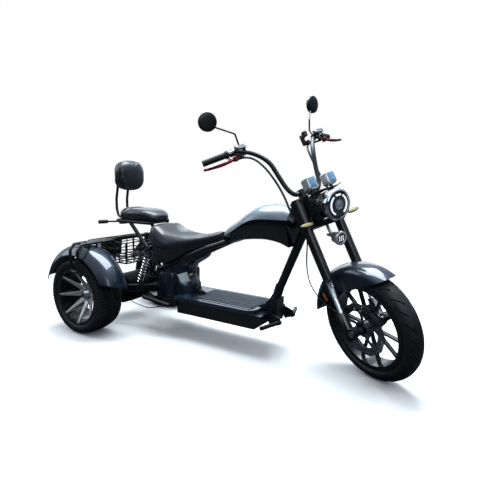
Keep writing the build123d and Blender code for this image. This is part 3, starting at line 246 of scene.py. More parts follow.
floor_mesh.from_pydata(
    [(x * FLOOR_REACH, y * FLOOR_REACH, 0) for x, y in ((-1, -1), (1, -1), (1, 1), (-1, 1))], [],
    [(0, 1, 2, 3)])
floor_mesh.materials.append(floor_paint)
shown("floor", floor_mesh)

# ---- brake hose, wiring looms and rear brake cable
# Black rubber hose and sleeved wire, clipped at both ends. Each hangs on its own natural curve;
# the points are the control points of a smooth line, in the units of the piece that carries it.
hose_rubber = finish("hose_rubber", "#08090b", "#121417", 18, 0.42, relief=(3, 0.2))
HOSE = [
    (-74, -93, 554), (-108, -95, 492), (-160, -96, 430), (-202, -96, 362), (-222, -95, 294),
    (-210, -93, 232), (-178, -91, 176), (-130, -87, 128), (-78, -81, 96), (-51, -80, 106.6)]
LOOM = [
    (-160, -322, 1055), (-158, -280, 1048), (-152, -228, 1050), (-138, -184, 1026),
    (-112, -160, 960), (-94, -149, 890), (-80, -144, 826), (-68, -145, 762), (-64, -149, 700),
    (-64, -149, 650)]
CABLE = [
    (93.9, -84, 159.7), (118, -86, 143), (168, -91, 139), (222, -97, 134), (278, -104, 134),
    (334, -110, 145), (388, -115, 162), (438, -119, 172), (478, -121, 190), (478, -122, 225.5)]


def at_mm(place, x, y, z):
    """A point given in millimetres in a place, in metres."""
    return place @ (Vector((x, y, z)) / 1000)


def round_line(name, points, radius, kind, facets, resolution=12):
    """A round line through points in metres, as a curve."""
    data = bpy.data.curves.new(name, "CURVE")
    data.dimensions = "3D"
    line = data.splines.new(kind)
    line.points.add(len(points) - 1)
    for point, where in zip(line.points, points):
        point.co = (*where, 1)
    line.order_u = 3
    line.use_endpoint_u = True
    data.bevel_depth = radius / 1000
    data.bevel_resolution = facets
    data.resolution_u = resolution
    data.use_fill_caps = True
    return data


def cord(name, place, points, radius, body):
    """A cord by its control points, radius and length in mm."""
    points = [at_mm(place, *p) for p in points]
    data = round_line(name, points, radius, "NURBS", 6, 24)
    data.materials.append(hose_rubber)
    piece = shown(name + "_line", data)
    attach(piece, body)
    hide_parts(name)


cord("brake_hose", fork_frame, HOSE, 3.5, "steering")
cord("bar_loom_right", fork_frame, LOOM, 6, "steering")
cord("bar_loom_left", fork_frame, [(a, -b, c) for a, b, c in LOOM], 6, "steering")
cord("rear_brake_cable", trike_frame, CABLE, 3, "chassis")

# ---- welded frame, forks' clamps, racks and bars
# Steel tube, powder coated satin black: an even skin with a faint orange peel, a little paler
# where dust settles. Racks, bars and clamps have the same coat.
powder_coat = finish(
    "powder_coat", "#050608", "#0b0d10", 60, (0.28, 0.45, 80), relief=(2.5, 0.05), Coat_Weight=0.25,
    Coat_Roughness=0.2)


def finish_node(material, *names):
    """A CAD piece keeps its own mesh and takes a finish."""
    for name in names:
        mesh = frame["nodes"][name].data
        mesh.materials.clear()
        mesh.materials.append(material)


finish_node(
    powder_coat, "main_frame", "frame_cradle", "swing_arm", "seat_struts", "backrest_frame",
    "rear_rack", "rack_basket", "plate_bracket", "lamp_bracket", "rear_axle", "steering_stem",
    "front_foot_pegs", "rear_foot_pegs", "fork_uppers")
# The handlebar and the mirrors have a thinner, darker coat.
gloss_coat = finish(
    "gloss_coat", "#040507", "#090b0e", 90, (0.36, 0.5, 60), Coat_Weight=0.15, Coat_Roughness=0.2)
finish_node(gloss_coat, "mirrors")

# ---- battery box, seat base and motor
# Moulded polypropylene with a fine spark-eroded grain, and a sand-cast aluminium motor case.
moulded_black = finish(
    "moulded_black", "#08090b", "#0f1114", 45, (0.42, 0.6, 50), relief=(1.6, 0.12))
finish_node(moulded_black, "battery_box", "seat_base")
cast_case = finish("cast_case", "#191b1e", "#0d0e10", 70, 0.5, 0.8, relief=(3, 0.3))
finish_node(cast_case, "drive_motor")

# ---- front spindle
# Ground steel, hard chromed and slightly worn, like the sliding fork tubes. The CAD piece keeps
# its shape.
ground_steel = finish("ground_steel", "#a9adb3", "#989ca2", 60, (0.24, 0.36, 40), 1.0)
finish_node(ground_steel, "front_axle")

# ---- tyres
# Carbon black rubber, moulded: satin sidewalls and a road tread cut about 5 mm deep, with slanted
# grooves in front and close bars across at the rear.
tyre_rubber = finish("tyre_rubber", "#08090c", "#101318", 35, (0.42, 0.62, 40), relief=(2.2, 0.15))
# Points nearer than this many metres are one; an edge with a larger angle shows sharp.
MERGE, SHARP = 0.00002, radians(35)


def make_piece(name, points, faces, materials, crease=40):
    """A mesh object from points in metres, smooth up to the crease angle."""
    mesh = bpy.data.meshes.new(name)
    mesh.from_pydata([tuple(p) for p in points], [], faces)
    for material in materials:
        mesh.materials.append(material)
    mesh.shade_smooth()
    mesh.set_sharp_from_angle(angle=radians(crease))
    return shown(name, mesh)


def hang_on(piece, body, slot, *replaced):
    """The piece moves with a body and may stand for CAD pieces. The slot is not used."""
    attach(piece, body)
    if replaced:
        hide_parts(*replaced)
    return piece


def grid(rows, columns, ring=False, tube=False):
    """Quads of a sheet of points: ring joins its last row to the first, tube its last column."""
    faces = []
    for i in range(rows if ring else rows - 1):
        for j in range(columns if tube else columns - 1):
            ni, nj = (i + 1) % rows, (j + 1) % columns
            faces.append((i * columns + j, i * columns + nj, ni * columns + nj, ni * columns + j))
    return faces


def outwards(piece):
    """Merges doubles and points every face out."""
    mesh = bmesh.new()
    mesh.from_mesh(piece.data)
    bmesh.ops.remove_doubles(mesh, verts=mesh.verts, dist=MERGE)
    bmesh.ops.recalc_face_normals(mesh, faces=mesh.faces)
    mesh.to_mesh(piece.data)
    mesh.free()
    return piece


def arc_through(start, middle, end, steps):
    """Points on the circle through three points of a plane."""
    (x0, y0), (x1, y1), (x2, y2) = start, middle, end
    d = 2 * (x0 * (y1 - y2) + x1 * (y2 - y0) + x2 * (y0 - y1))
    s0, s1, s2 = x0 * x0 + y0 * y0, x1 * x1 + y1 * y1, x2 * x2 + y2 * y2
    cx = (s0 * (y1 - y2) + s1 * (y2 - y0) + s2 * (y0 - y1)) / d
    cy = (s0 * (x2 - x1) + s1 * (x0 - x2) + s2 * (x1 - x0)) / d
    radius = hypot(x0 - cx, y0 - cy)
    first = atan2(y0 - cy, x0 - cx)
    turn = (atan2(y2 - cy, x2 - cx) - first) % (2 * pi)
    half = (atan2(y1 - cy, x1 - cx) - first) % (2 * pi)
    if half > turn:
        turn -= 2 * pi
    return [
        (cx + radius * cos(first + turn * k / steps), cy + radius * sin(first + turn * k / steps))
        for k in range(steps + 1)]


def make_tyre(name, place, half_outline, tread, around, body, node):
    """Half outline: radius and distance from the middle, from the bead to the crown."""
    outline = half_outline + [(r, -t) for r, t in half_outline[-2::-1]]
    points = []
    for i in range(around):
        angle = 2 * pi * i / around
        for r, t in outline:
            depth = tread(angle, t, r)
            points.append(at_mm(place, (r - depth) * cos(angle), t, (r - depth) * sin(angle)))
    faces = grid(around, len(outline), ring=True, tube=True)
    piece = outwards(make_piece(name, points, faces, [tyre_rubber], 30))
    return hang_on(piece, body, "rubber_tyre", node)


FRONT_R, FRONT_BEAD, FRONT_TREAD_R, FRONT_GROOVES, FRONT_CUT = 293.0, 216.0, 262, 26, 4.5
# How far from the middle the grooves begin and how wide their band is; as shares of the band,
# where a long one and a short one begin and both end; then, in shares of one pitch, how far a
# groove leans, where its wall stands and how wide the wall is
BAND_FROM, BAND, LONG_FROM, SHORT_FROM, BAND_END = 8, 44, 0.06, 0.32, 0.9
GROOVE_LEAN, GROOVE_WALL, WALL_SLOPE = 0.9, 0.425, 0.02
front_outline = (
    [(FRONT_BEAD, 10), (FRONT_BEAD, 37.5), (225, 38), (228, 44)]
    + arc_through((230, 47), (246, 55.6), (264.0, 49.5), 8)
    + arc_through((265.5, 48.4), (279.5, 38), (290.5, 16), 22)
    + arc_through((291.2, 13.5), (292.6, 7), (FRONT_R, 0), 6))


def front_tread(angle, t, r):
    """Slanted grooves from each shoulder, every other one longer."""
    if r < FRONT_TREAD_R:
        return 0.0
    turn = angle / (2 * pi) * FRONT_GROOVES + (0.5 if t > 0 else 0)
    slant = (abs(t) - BAND_FROM) / BAND
    reach = LONG_FROM if int(turn) % 2 else SHORT_FROM
    if not reach < slant < BAND_END:
        return 0.0
    away = abs((turn % 1 - GROOVE_LEAN * slant) % 1 - 0.5)
    return FRONT_CUT * max(0.0, min(1.0, (away - GROOVE_WALL) / WALL_SLOPE))


make_tyre(
    "front_tyre_tread", fork_frame, front_outline, front_tread, 792, "front_wheel", "front_tyre")

REAR_WHEEL_R, REAR_WHEEL_Y = 247.0, 373.0
HANDS = ((1, "left"), (-1, "right"))
# Cuts between the bars: how many, how deep, their share of one pitch, and over how many mm they
# slant by one pitch. Grooves round the tyre: from which radius, half width, and where across it.
# The bars begin at this radius and at this distance from the middle.
REAR_BARS, REAR_CUT, BAR_SHARE, BAR_SLANT = 64, 5.0, 0.3, 160
RING_R, RING_HALF, RING_AT = 240, 2.6, (0.0, 30.0)
SHOULDER_R, SHOULDER_Y = 219, 33
rear_outline = (
    [(178, 10), (178, 77.5), (188, 78), (190, 84)]
    + arc_through((193, 88), (212, 94.5), (232, 90), 8)
    + arc_through((235.0, 88.5), (243.5, 48), (246.9, 6), 26) + [(247, 0)])


def rear_tread(angle, t, r):
    """Bars across each shoulder, and three grooves round the tyre between them."""
    if r > RING_R and any(abs(abs(t) - middle) < RING_HALF for middle in RING_AT):
        return REAR_CUT
    if r < SHOULDER_R or abs(t) < SHOULDER_Y:
        return 0.0
    turn = (angle / (2 * pi) * REAR_BARS + (0.5 if t > 0 else 0) + abs(t) / BAR_SLANT) % 1
    return REAR_CUT if turn < BAR_SHARE else 0.0


for side, hand in HANDS:
    middle = shifted(trike_frame, 0, side * REAR_WHEEL_Y, REAR_WHEEL_R)
    make_tyre(
        "rear_tyre_tread_" + hand, middle, rear_outline, rear_tread, 640, "rear_wheel_" + hand,
        "rear_tyre_" + hand)

# ---- fenders
# Pressed steel in a metallic dark blue with a thick clear coat. The fine aluminium flake is drawn
# at 1.5 mm, coarser than real, so that it still gives a slight sparkle.
flake_paint = finish(
    "flake_paint", "#0c1723", "#16283d", 1.5, 0.38, 0.6, sharp=0.9, Coat_Weight=1.0,
    Coat_Roughness=0.04)


def modify(piece, kind, **settings):
    """A modifier on the piece."""
    modifier = piece.modifiers.new(kind.lower(), kind)
    for key, value in settings.items():
        setattr(modifier, key, value)
    return modifier


def smooth_rows(table, steps):
    """Rows between the rows of a table, on a smooth curve through them."""
    rows = []
    for k in range(len(table) - 1):
        a, b, c, d = (table[max(0, min(len(table) - 1, k + j))] for j in (-1, 0, 1, 2))
        for step in range(steps):
            t = step / steps
            rows.append([
                q + 0.5 * t * (r - p + t * (2 * p - 5 * q + 4 * r - s + t * (3 * (q - r) + s - p)))
                for p, q, r, s in zip(a, b, c, d)])
    rows.append(list(table[-1]))
    return rows


FENDER_CROWN = 332.0
FENDER_OUT_Y = 485.0
# Radius, and distance from the middle of the trike
FENDER = [
    (272, FENDER_OUT_Y - 9), (288, FENDER_OUT_Y - 19), (310, FENDER_OUT_Y - 37),
    (325, FENDER_OUT_Y - 60), (FENDER_CROWN, FENDER_OUT_Y - 105), (329, FENDER_OUT_Y - 150),
    (318, FENDER_OUT_Y - 178), (302, FENDER_OUT_Y - 196)]
FENDER_EDGE_Y, FENDER_EDGE_Z, FENDER_EDGE_RISE = 350.0, 322.0, 17.0
FENDER_TAIL = 162.0
FENDER_STEPS = 72
profile = smooth_rows(FENDER, 5)
for side, hand in HANDS:
    points = []
    for r, y in profile:
        edge_z = FENDER_EDGE_Z + (y - FENDER_EDGE_Y) * tan(radians(FENDER_EDGE_RISE))
        first = asin((edge_z - REAR_WHEEL_R) / r)
        for k in range(FENDER_STEPS + 1):
            angle = first + (radians(FENDER_TAIL) - first) * k / FENDER_STEPS
            points.append(
                at_mm(trike_frame, r * cos(angle), side * y, REAR_WHEEL_R + r * sin(angle)))
    fender = outwards(
        make_piece(
            "rear_fender_" + hand, points, grid(len(profile), FENDER_STEPS + 1), [flake_paint]))
    if fender.data.polygons[0].normal.dot(Vector((0, side, 0))) < 0:
        fender.data.flip_normals()
    modify(fender, "SOLIDIFY", thickness=0.004, offset=-1)
    modify(fender, "BEVEL", width=0.0012, segments=2, limit_method="ANGLE", angle_limit=radians(50))
    hang_on(fender, "chassis", "body_blue", *(["rear_fenders"] if side > 0 else []))

# The front fender hugs the tyre: pointed at the front, with its skirts cut level ahead of the
# fork and sloping down behind it.
FRONT_FENDER_R = 343.0
FRONT_FENDER_SHIFT = (-16.0, -12.0)
# Radius, half width
FRONT_PROFILE = [
    (FRONT_FENDER_R, 0), (341, 24), (336, 45), (324, 62), (306, 72), (290, 75.5), (250, 77),
    (212, 77)]
EDGE_C, KNEE_A, KNEE_STEP = 202.0, -20.0, 10.0
REAR_SLOPE = tan(radians(14))
STATIONS, HALF_STEPS, TRIES = 90, 18, 1800
half_profile = smooth_rows(FRONT_PROFILE, 12)


def edge_radius(angle):
    """How near the axle the skirt reaches at an angle round the tyre."""
    level = (EDGE_C - FRONT_FENDER_SHIFT[1]) / sin(angle)
    if FRONT_FENDER_SHIFT[0] + level * cos(angle) > KNEE_A:
        return level
    drop = sin(angle) - REAR_SLOPE * cos(angle)
    return (
        EDGE_C + KNEE_STEP - FRONT_FENDER_SHIFT[1]
        + REAR_SLOPE * (FRONT_FENDER_SHIFT[0] - KNEE_A)) / drop


tips = [
    angle for angle in (radians(180 * k / TRIES) for k in range(1, TRIES))
    if edge_radius(angle) < FRONT_FENDER_R - 0.5]
points = []
for k in range(STATIONS + 1):
    ease = (1 - cos(pi * k / STATIONS)) / 2
    angle = tips[0] + (tips[-1] - tips[0]) * ease
    limit = max(FRONT_PROFILE[-1][0], edge_radius(angle))
    used = [row for row in half_profile if row[0] >= limit] or [half_profile[0]]
    after = half_profile[min(len(used), len(half_profile) - 1)]
    last = used[-1]
    span = last[0] - after[0]
    share = 0 if span < 1e-6 else max(0.0, min(1.0, (last[0] - limit) / span))
    used = used + [[last[0] + (after[0] - last[0]) * share, last[1] + (after[1] - last[1]) * share]]
    lengths = [0.0]
    for p, q in zip(used, used[1:]):
        lengths.append(lengths[-1] + hypot(q[0] - p[0], q[1] - p[1]))
    half_row = []
    for j in range(HALF_STEPS + 1):
        want = lengths[-1] * j / HALF_STEPS
        index = min(max(i for i, run in enumerate(lengths) if run <= want + 1e-9), len(used) - 2)
        gap = lengths[index + 1] - lengths[index]
        t = 0 if gap < 1e-9 else (want - lengths[index]) / gap
        half_row.append([p + (q - p) * t for p, q in zip(used[index], used[index + 1])])
    for r, b in [(r, -b) for r, b in half_row[::-1]] + half_row[1:]:
        points.append(
            at_mm(
                fork_frame, FRONT_FENDER_SHIFT[0] + r * cos(angle), b,
                FRONT_FENDER_SHIFT[1] + r * sin(angle)))
front_fender = outwards(
    make_piece("front_fender_shell", points, grid(STATIONS + 1, 2 * HALF_STEPS + 1), [flake_paint]))
crown = front_fender.data.polygons[len(front_fender.data.polygons) // 2]
if crown.normal.dot(crown.center - hub) < 0:
    front_fender.data.flip_normals()
modify(front_fender, "SOLIDIFY", thickness=0.003, offset=-1)
modify(
    front_fender, "BEVEL", width=0.001, segments=2, limit_method="ANGLE", angle_limit=radians(50))
hang_on(front_fender, "steering", "body_blue", "front_fender")

# ---- tank cover
# Two moulded halves: the upper in silver-grey metallic, its flake drawn at 1.5 mm so that it
# shows, the lower in deep gloss black, meeting in a crisp line along the flank.
silver_paint = finish(
    "silver_paint", "#646e77", "#818b93", 1.5, 0.4, 0.6, sharp=0.9, Coat_Weight=0.6,
    Coat_Roughness=0.08)
black_paint = finish(
    "black_paint", "#050608", "#0a0b0e", 60, 0.16, Coat_Weight=1.0, Coat_Roughness=0.03)
# X, half width, bottom of the black cover, joint with the silver cover, top
TANK = [
    (868, 46, 616, 662, 699), (905, 66, 622, 682, 729), (975, 88, 650, 722, 771),
    (1045, 104, 664, 763, 822), (1115, 113, 673, 785, 857), (1185, 116, 675, 791, 870),
    (1255, 110, 664, 791, 866), (1308, 92, 640, 790, 847)]
SHOULDER = 0.715


def loft_closed(name, rings, materials, crease=40):
    """A closed skin through rings of as many points, with a fan at each end."""
    count = len(rings[0])
    points = [p for ring in rings for p in ring]
    faces = grid(len(rings), count, tube=True)
    for ring, start in ((rings[0], 0), (rings[-1], (len(rings) - 1) * count)):
        points.append(sum((Vector(p) for p in ring), Vector()) / count)
        hub_point = len(points) - 1
        faces += [(start + j, start + (j + 1) % count, hub_point) for j in range(count)]
    return outwards(make_piece(name, points, faces, materials, crease))


def tank_rings(upper):
    """Rings of the cover above or below the joint, which runs flat across."""
    rings = []
    for x, half, low, joint, top in smooth_rows(TANK, 8):
        if upper:
            rise = top - joint
            arch = arc_through(
                (half, joint), (SHOULDER * half, joint + SHOULDER * rise), (0, top), 10)
        else:
            inset = 0.72 * half
            arch = arc_through((half, joint), (0.97 * half, (joint + low) / 2), (inset, low), 10)
            arch += [(inset * (1 - k / 4), low) for k in range(1, 5)]
        flat = [(-half + 2 * half * k / 6, joint) for k in range(1, 6)]
        ring = arch + [(-y, z) for y, z in arch[-2::-1]] + flat
        rings.append([at_mm(trike_frame, x, y, z) for y, z in ring])
    return rings


for half_name, paint, slot in (
        ("upper", silver_paint, "tank_silver"), ("lower", black_paint, "tank_black")):
    cover = loft_closed("tank_cover_" + half_name, tank_rings(half_name == "upper"), [paint], 50)
    hang_on(cover, "chassis", slot, "tank_" + half_name)

# ---- body shell under the saddle
# One moulding with a round nose, painted like the fenders, and side covers behind it: skins
# through rings at several heights.
SHELL_HALF, SHELL_X0 = 114.0, 425.0
# Z, X from, X of the nose, half width
SHELL = [
    (262, SHELL_X0, 642, SHELL_HALF), (330, SHELL_X0, 626, SHELL_HALF),
    (370, SHELL_X0, 607, SHELL_HALF), (408, SHELL_X0, 598, SHELL_HALF), (448, SHELL_X0, 613, 108),
    (477, 440, 655, 102), (500, 490, 692, 94), (520, 540, 716, 84), (550, 600, 732, 70)]
rings = []
for z, x0, x1, half in smooth_rows(SHELL, 6):
    ring = [
        (x1 - half + half * cos(a), half * sin(a))
        for a in (pi / 2 - pi * k / 32 for k in range(33))]
    ring += [(x0, -half * (1 - k / 4)) for k in range(9)]
    rings.append([at_mm(trike_frame, x, y, z) for x, y in ring])
hang_on(
    loft_closed("body_shell_moulding", rings, [flake_paint], 45), "chassis", "body_blue_plastic",
    "body_shell")


def rounded_ring(half_u, half_v, corner, steps=5):
    """Points round a rectangle with round corners."""
    ring = []
    for su, sv, start in ((1, 1, 0), (-1, 1, 90), (-1, -1, 180), (1, -1, 270)):
        for k in range(steps + 1):
            a = radians(start + 90 * k / steps)
            ring.append(
                (su * (half_u - corner) + corner * cos(a),
                 sv * (half_v - corner) + corner * sin(a)))
    return ring


def stacked(name, place, layers, materials, crease=40):
    """A solid through rounded rectangles: height, half sizes and corner of each, in a place."""
    rings = [
        [at_mm(place, u, v, w) for u, v in rounded_ring(hu, hv, corner)]
        for w, hu, hv, corner in layers]
    return loft_closed(name, rings, materials, crease)


for side, hand in HANDS:
    cover = stacked(
        "side_cover_" + hand, shifted(trike_frame, 485, side * 112, 0),
        [(252, 60, 28, 10), (256, 60, 32, 12), (400, 60, 32, 14), (410, 56, 28, 14),
         (414, 48, 20, 12)], [flake_paint])
    hang_on(cover, "chassis", "body_blue_plastic")

# ---- saddle, pillion and backrest
# Foam under black leather, swollen by a short cloth run. The saddle is a deep bucket with a
# raised rim that shines.
# Grained leather: a dull sheen broken by pebbles, drawn at 3.2 mm so that they show.
leather = finish(
    "leather", "#0c1219", "#151d26", 70, (0.34, 0.46, 60), relief=(3.2, 0.03), cells=True,
    Sheen_Weight=0.05, Coat_Weight=0.4, Coat_Roughness=0.28)
# How fine the cloth is in metres, the pressure inside it, and for how many steps it swells
VOXEL, PRESSURE, CLOTH_STEPS = 0.005, 4.0, 20


def turned_frame(place, origin, facing):
    """A frame at a point of another one, its Z along facing and its X level across it."""
    facing = Vector(facing).normalized()
    across = Vector((0, 1, 0)) if abs(facing.y) < 0.9 else Vector((1, 0, 0))
    across = (across - facing * across.dot(facing)).normalized()
    axes = Matrix((across, facing.cross(across), facing)).transposed().to_4x4()
    return place @ Matrix.Translation(Vector(origin) / 1000) @ axes


def crosswise(table, section_of):
    """Rings across the trike, from the half section at each row of a table."""
    rings = []
    for x, *sizes in smooth_rows(table, 3):
        section = smooth_rows(section_of(*sizes), 3)
        ring = section + [(-y, z) for y, z in section[-2:0:-1]]
        rings.append([at_mm(trike_frame, x, y, z) for y, z in ring])
    return rings


def cushion(name, foam, cap, node):
    """Foam swells the cover: a short cloth run under pressure, in which no point moves past a cap
    in mm."""
    modify(foam, "REMESH", mode="VOXEL", voxel_size=VOXEL)
    graph = bpy.context.evaluated_depsgraph_get()
    mesh = bpy.data.meshes.new_from_object(foam.evaluated_get(graph))
    bpy.data.objects.remove(foam)
    mesh.name = name
    mesh.materials.clear()
    mesh.materials.append(leather)
    cover = shown(name, mesh)
    start = [v.co.copy() for v in mesh.vertices]
    cloth = cover.modifiers.new("cloth", "CLOTH")
    cloth.settings.use_pressure = True
    cloth.settings.uniform_pressure_force = PRESSURE
    cloth.settings.effector_weights.gravity = 0.0
    for step in range(1, CLOTH_STEPS + 1):
        bpy.context.scene.frame_set(step)
    graph = bpy.context.evaluated_depsgraph_get()
    swollen = [v.co.copy() for v in cover.evaluated_get(graph).data.vertices]
    cover.modifiers.clear()
    bpy.context.scene.frame_set(1)
    for vertex, was, now in zip(mesh.vertices, start, swollen):
        move = now - was
        if move.length > cap / 1000:
            move = move * (cap / 1000 / move.length)
        vertex.co = was + move
    mesh.shade_smooth()
    modify(cover, "SMOOTH", factor=0.5, iterations=3)
    modify(cover, "SUBSURF", levels=1, render_levels=1)
    hang_on(cover, "chassis", "leather_black", node)


# X, half width, bottom, height of the rim, height of the middle
SADDLE = [
    (312, 78, 606, 656, 668), (326, 112, 588, 686, 698), (346, 132, 570, 702, 711),
    (374, 144, 556, 706, 706), (402, 149, 546, 692, 680), (436, 151, 542, 670, 648),
    (484, 152, 540, 652, 629), (565, 148, 552, 642, 622), (650, 128, 584, 646, 636),
    (740, 96, 613, 660, 662), (800, 72, 636, 676, 680), (842, 56, 652, 688, 692)]


def saddle_section(half, low, rim, mid):
    """Half of the section, from the middle over the rim and down to the bottom."""
    rise = rim - low
    return [
        (0, mid), (0.34 * half, mid + 0.12 * (rim - mid)), (0.6 * half, mid + 0.55 * (rim - mid)),
        (0.78 * half, rim), (0.9 * half, rim - 0.07 * rise), (0.985 * half, rim - 0.28 * rise),
        (half, low + 0.42 * rise), (0.97 * half, low + 0.18 * rise),
        (0.88 * half, low + 0.03 * rise), (0.6 * half, low), (0, low)]


cushion(
    "saddle", loft_closed("saddle_foam", crosswise(SADDLE, saddle_section), [leather], 180), 4,
    "rider_seat")

# X, half width, bottom, height of the seam, height of the middle
PILLION = [
    (20, 76, 731, 750, 762), (28, 96, 728, 768, 790), (52, 107, 727, 772, 801),
    (84, 110, 727, 772, 802), (97, 110, 727, 768, 790), (112, 111, 727, 770, 797),
    (180, 112, 727, 770, 799), (240, 110, 727, 768, 796), (292, 98, 727, 760, 786),
    (322, 78, 728, 748, 768), (335, 56, 731, 740, 752)]


def pillion_section(half, low, seam, mid):
    """Half of the section, from the middle over the seam and down to the bottom."""
    crown = mid - seam
    return [
        (0, mid), (0.4 * half, mid - 0.04 * crown), (0.72 * half, mid - 0.2 * crown),
        (0.9 * half, mid - 0.5 * crown), (0.985 * half, seam + 2), (half, seam - 3),
        (0.99 * half, low + 0.3 * (seam - low)), (0.93 * half, low), (0.5 * half, low), (0, low)]


cushion(
    "pillion", loft_closed("pillion_foam", crosswise(PILLION, pillion_section), [leather], 180), 4,
    "passenger_seat")

PAD_X, PAD_Z = 31.0, 1023.0
# Distance ahead, half width, half height, corner
PAD_LAYERS = [
    (-46, 74, 62, 46), (-45, 100, 88, 62), (-36, 109, 96, 70), (-12, 112, 99, 74),
    (14, 112, 99, 74), (30, 107, 94, 70), (42, 92, 79, 60), (50, 62, 52, 42), (52, 28, 24, 20)]
cushion(
    "backrest_cushion",
    stacked(
        "backrest_foam", turned_frame(trike_frame, (PAD_X, 0, PAD_Z), (1, 0, 0)),
        smooth_rows(PAD_LAYERS, 3), [leather], 180), 6, "backrest_pad")

# ---- fork legs
# Hard-chromed sliding tubes down to black cast feet that hold the axle: the CAD piece's own mesh,
# in which each face takes one of the two finishes.
def local_of(place):
    """Turns a point in metres into millimetres in a place's own frame."""
    back_again = place.inverted()
    return lambda point: (back_again @ point) * 1000


def refinished(node, name, body, slot, materials, choose):
    """A CAD piece's mesh, merged, with each face given one of several finishes."""
    mesh = frame["nodes"][node].data.copy()
    mesh.materials.clear()
    for material in materials:
        mesh.materials.append(material)
    faces = bmesh.new()
    faces.from_mesh(mesh)
    bmesh.ops.remove_doubles(faces, verts=faces.verts, dist=MERGE)
    for face in faces.faces:
        face.material_index = choose(face.calc_center_median())
    faces.to_mesh(mesh)
    faces.free()
    mesh.shade_smooth()
    mesh.set_sharp_from_angle(angle=SHARP)
    return hang_on(shown(name, mesh), body, slot, node)


in_fork = local_of(fork_frame)
black_casting = finish(
    "black_casting", "#07080a", "#101215", 40, (0.35, 0.55, 30), 0.2, relief=(2.4, 0.15),
    Coat_Weight=0.2)
FOOT_TOP = 112.0
refinished(
    "fork_lowers", "fork_legs", "steering", "bright_steel", [ground_steel, black_casting],
    lambda p: 0 if in_fork(p).z > FOOT_TOP else 1)

# ---- rear wheels
# Cast aluminium: a deep black barrel, eight slender blades machined bright, a chromed cap and
# five nuts. Small bright bolts stand round the lip.
# Chrome plate: it mirrors all that stands round it, with a faint polishing haze.
chrome = finish("chrome", "#dfe2e6", "#cdd1d6", 50, (0.05, 0.13, 40), 1.0)
# Machined alloy, brushed one way by the cutter, so its glints are drawn out.
machined = finish(
    "machined_alloy", "#d2d1cc", "#bdbdb9", 30, (0.3, 0.45, 30), 0.7, relief=(1.2, 0.02),
    stretch=(1, 8, 1))
# Stove enamel: a deep, soft-edged gloss over black.
rim_enamel = finish(
    "rim_enamel", "#040506", "#090a0d", 50, (0.24, 0.4, 50), Coat_Weight=0.6, Coat_Roughness=0.12)
BLADE_REACH, BLADE_DEPTH = 166.0, 13.0
BLADE_ROOT_R, BLADE_ROOT_Z, BLADE_SLOPE = 40.0, -10.0, 90.0 / 131.0
CAP_R = 27.0


def new_tree(name, **kinds):
    """A geometry node tree, the identifiers of its named inputs, and the inputs. Each tree has a
    finish among them."""
    tree = bpy.data.node_groups.new(name, "GeometryNodeTree")
    tree.interface.new_socket(name="Geometry", in_out="OUTPUT", socket_type="NodeSocketGeometry")
    keys = {
        label: tree.interface.new_socket(
            name=label, in_out="INPUT", socket_type="NodeSocket" + kind).identifier
        for label, kind in dict(kinds, Finish="Material").items()}
    return tree, keys, add(tree, "NodeGroupInput").outputs


def close_tree(tree, keys, geometry, material):
    """Every tree ends in real geometry and its finish."""
    real = add(tree, "GeometryNodeRealizeInstances", {"Geometry": geometry})
    painted = add(
        tree, "GeometryNodeSetMaterial", {"Geometry": real.outputs[0], "Material": material})
    add(tree, "NodeGroupOutput", {0: painted.outputs[0]})
    return tree, keys


def grown(name, maker, values, place):
    """The plain mesh that a tree makes, put in its place."""
    tree, keys = maker
    holder = shown(name + "_seed", bpy.data.meshes.new(name + "_seed"))
    modifier = holder.modifiers.new("tree", "NODES")
    modifier.node_group = tree
    for label, value in values.items():
        modifier[keys[label]] = value
    graph = bpy.context.evaluated_depsgraph_get()
    mesh = bpy.data.meshes.new_from_object(holder.evaluated_get(graph))
    bpy.data.objects.remove(holder)
    mesh.transform(place)
    mesh.shade_smooth()
    mesh.set_sharp_from_angle(angle=SHARP)
    return outwards(shown(name, mesh))


tree, keys, given = new_tree(
    "ring_of_bolts", Count="Int", Pitch="Float", Head="Float", Height="Float", Sides="Int")
pitch = add(tree, "GeometryNodeMeshCircle", {"Vertices": given["Count"], "Radius": given["Pitch"]})
crest = add(tree, "ShaderNodeMath", {0: given["Head"], 1: 0.8}, operation="MULTIPLY")
bolt = add(
    tree, "GeometryNodeMeshCone",
    {"Vertices": given["Sides"], "Radius Top": crest.outputs[0], "Radius Bottom": given["Head"],
     "Depth": given["Height"]})
set_out = add(
    tree, "GeometryNodeInstanceOnPoints", {"Points": pitch.outputs[0], "Instance": bolt.outputs[0]})
ring_of_bolts = close_tree(tree, keys, set_out.outputs[0], given["Finish"])


def bolts(name, body, place, count, pitch_r, head, height, material, sides=6):
    """A ring of bolt heads in a place, sizes in mm."""
    piece = grown(
        name, ring_of_bolts,
        {"Count": count, "Pitch": pitch_r / 1000, "Head": head / 1000, "Height": height / 1000,
         "Sides": sides, "Finish": material}, place)
    return hang_on(piece, body, "bright_steel")


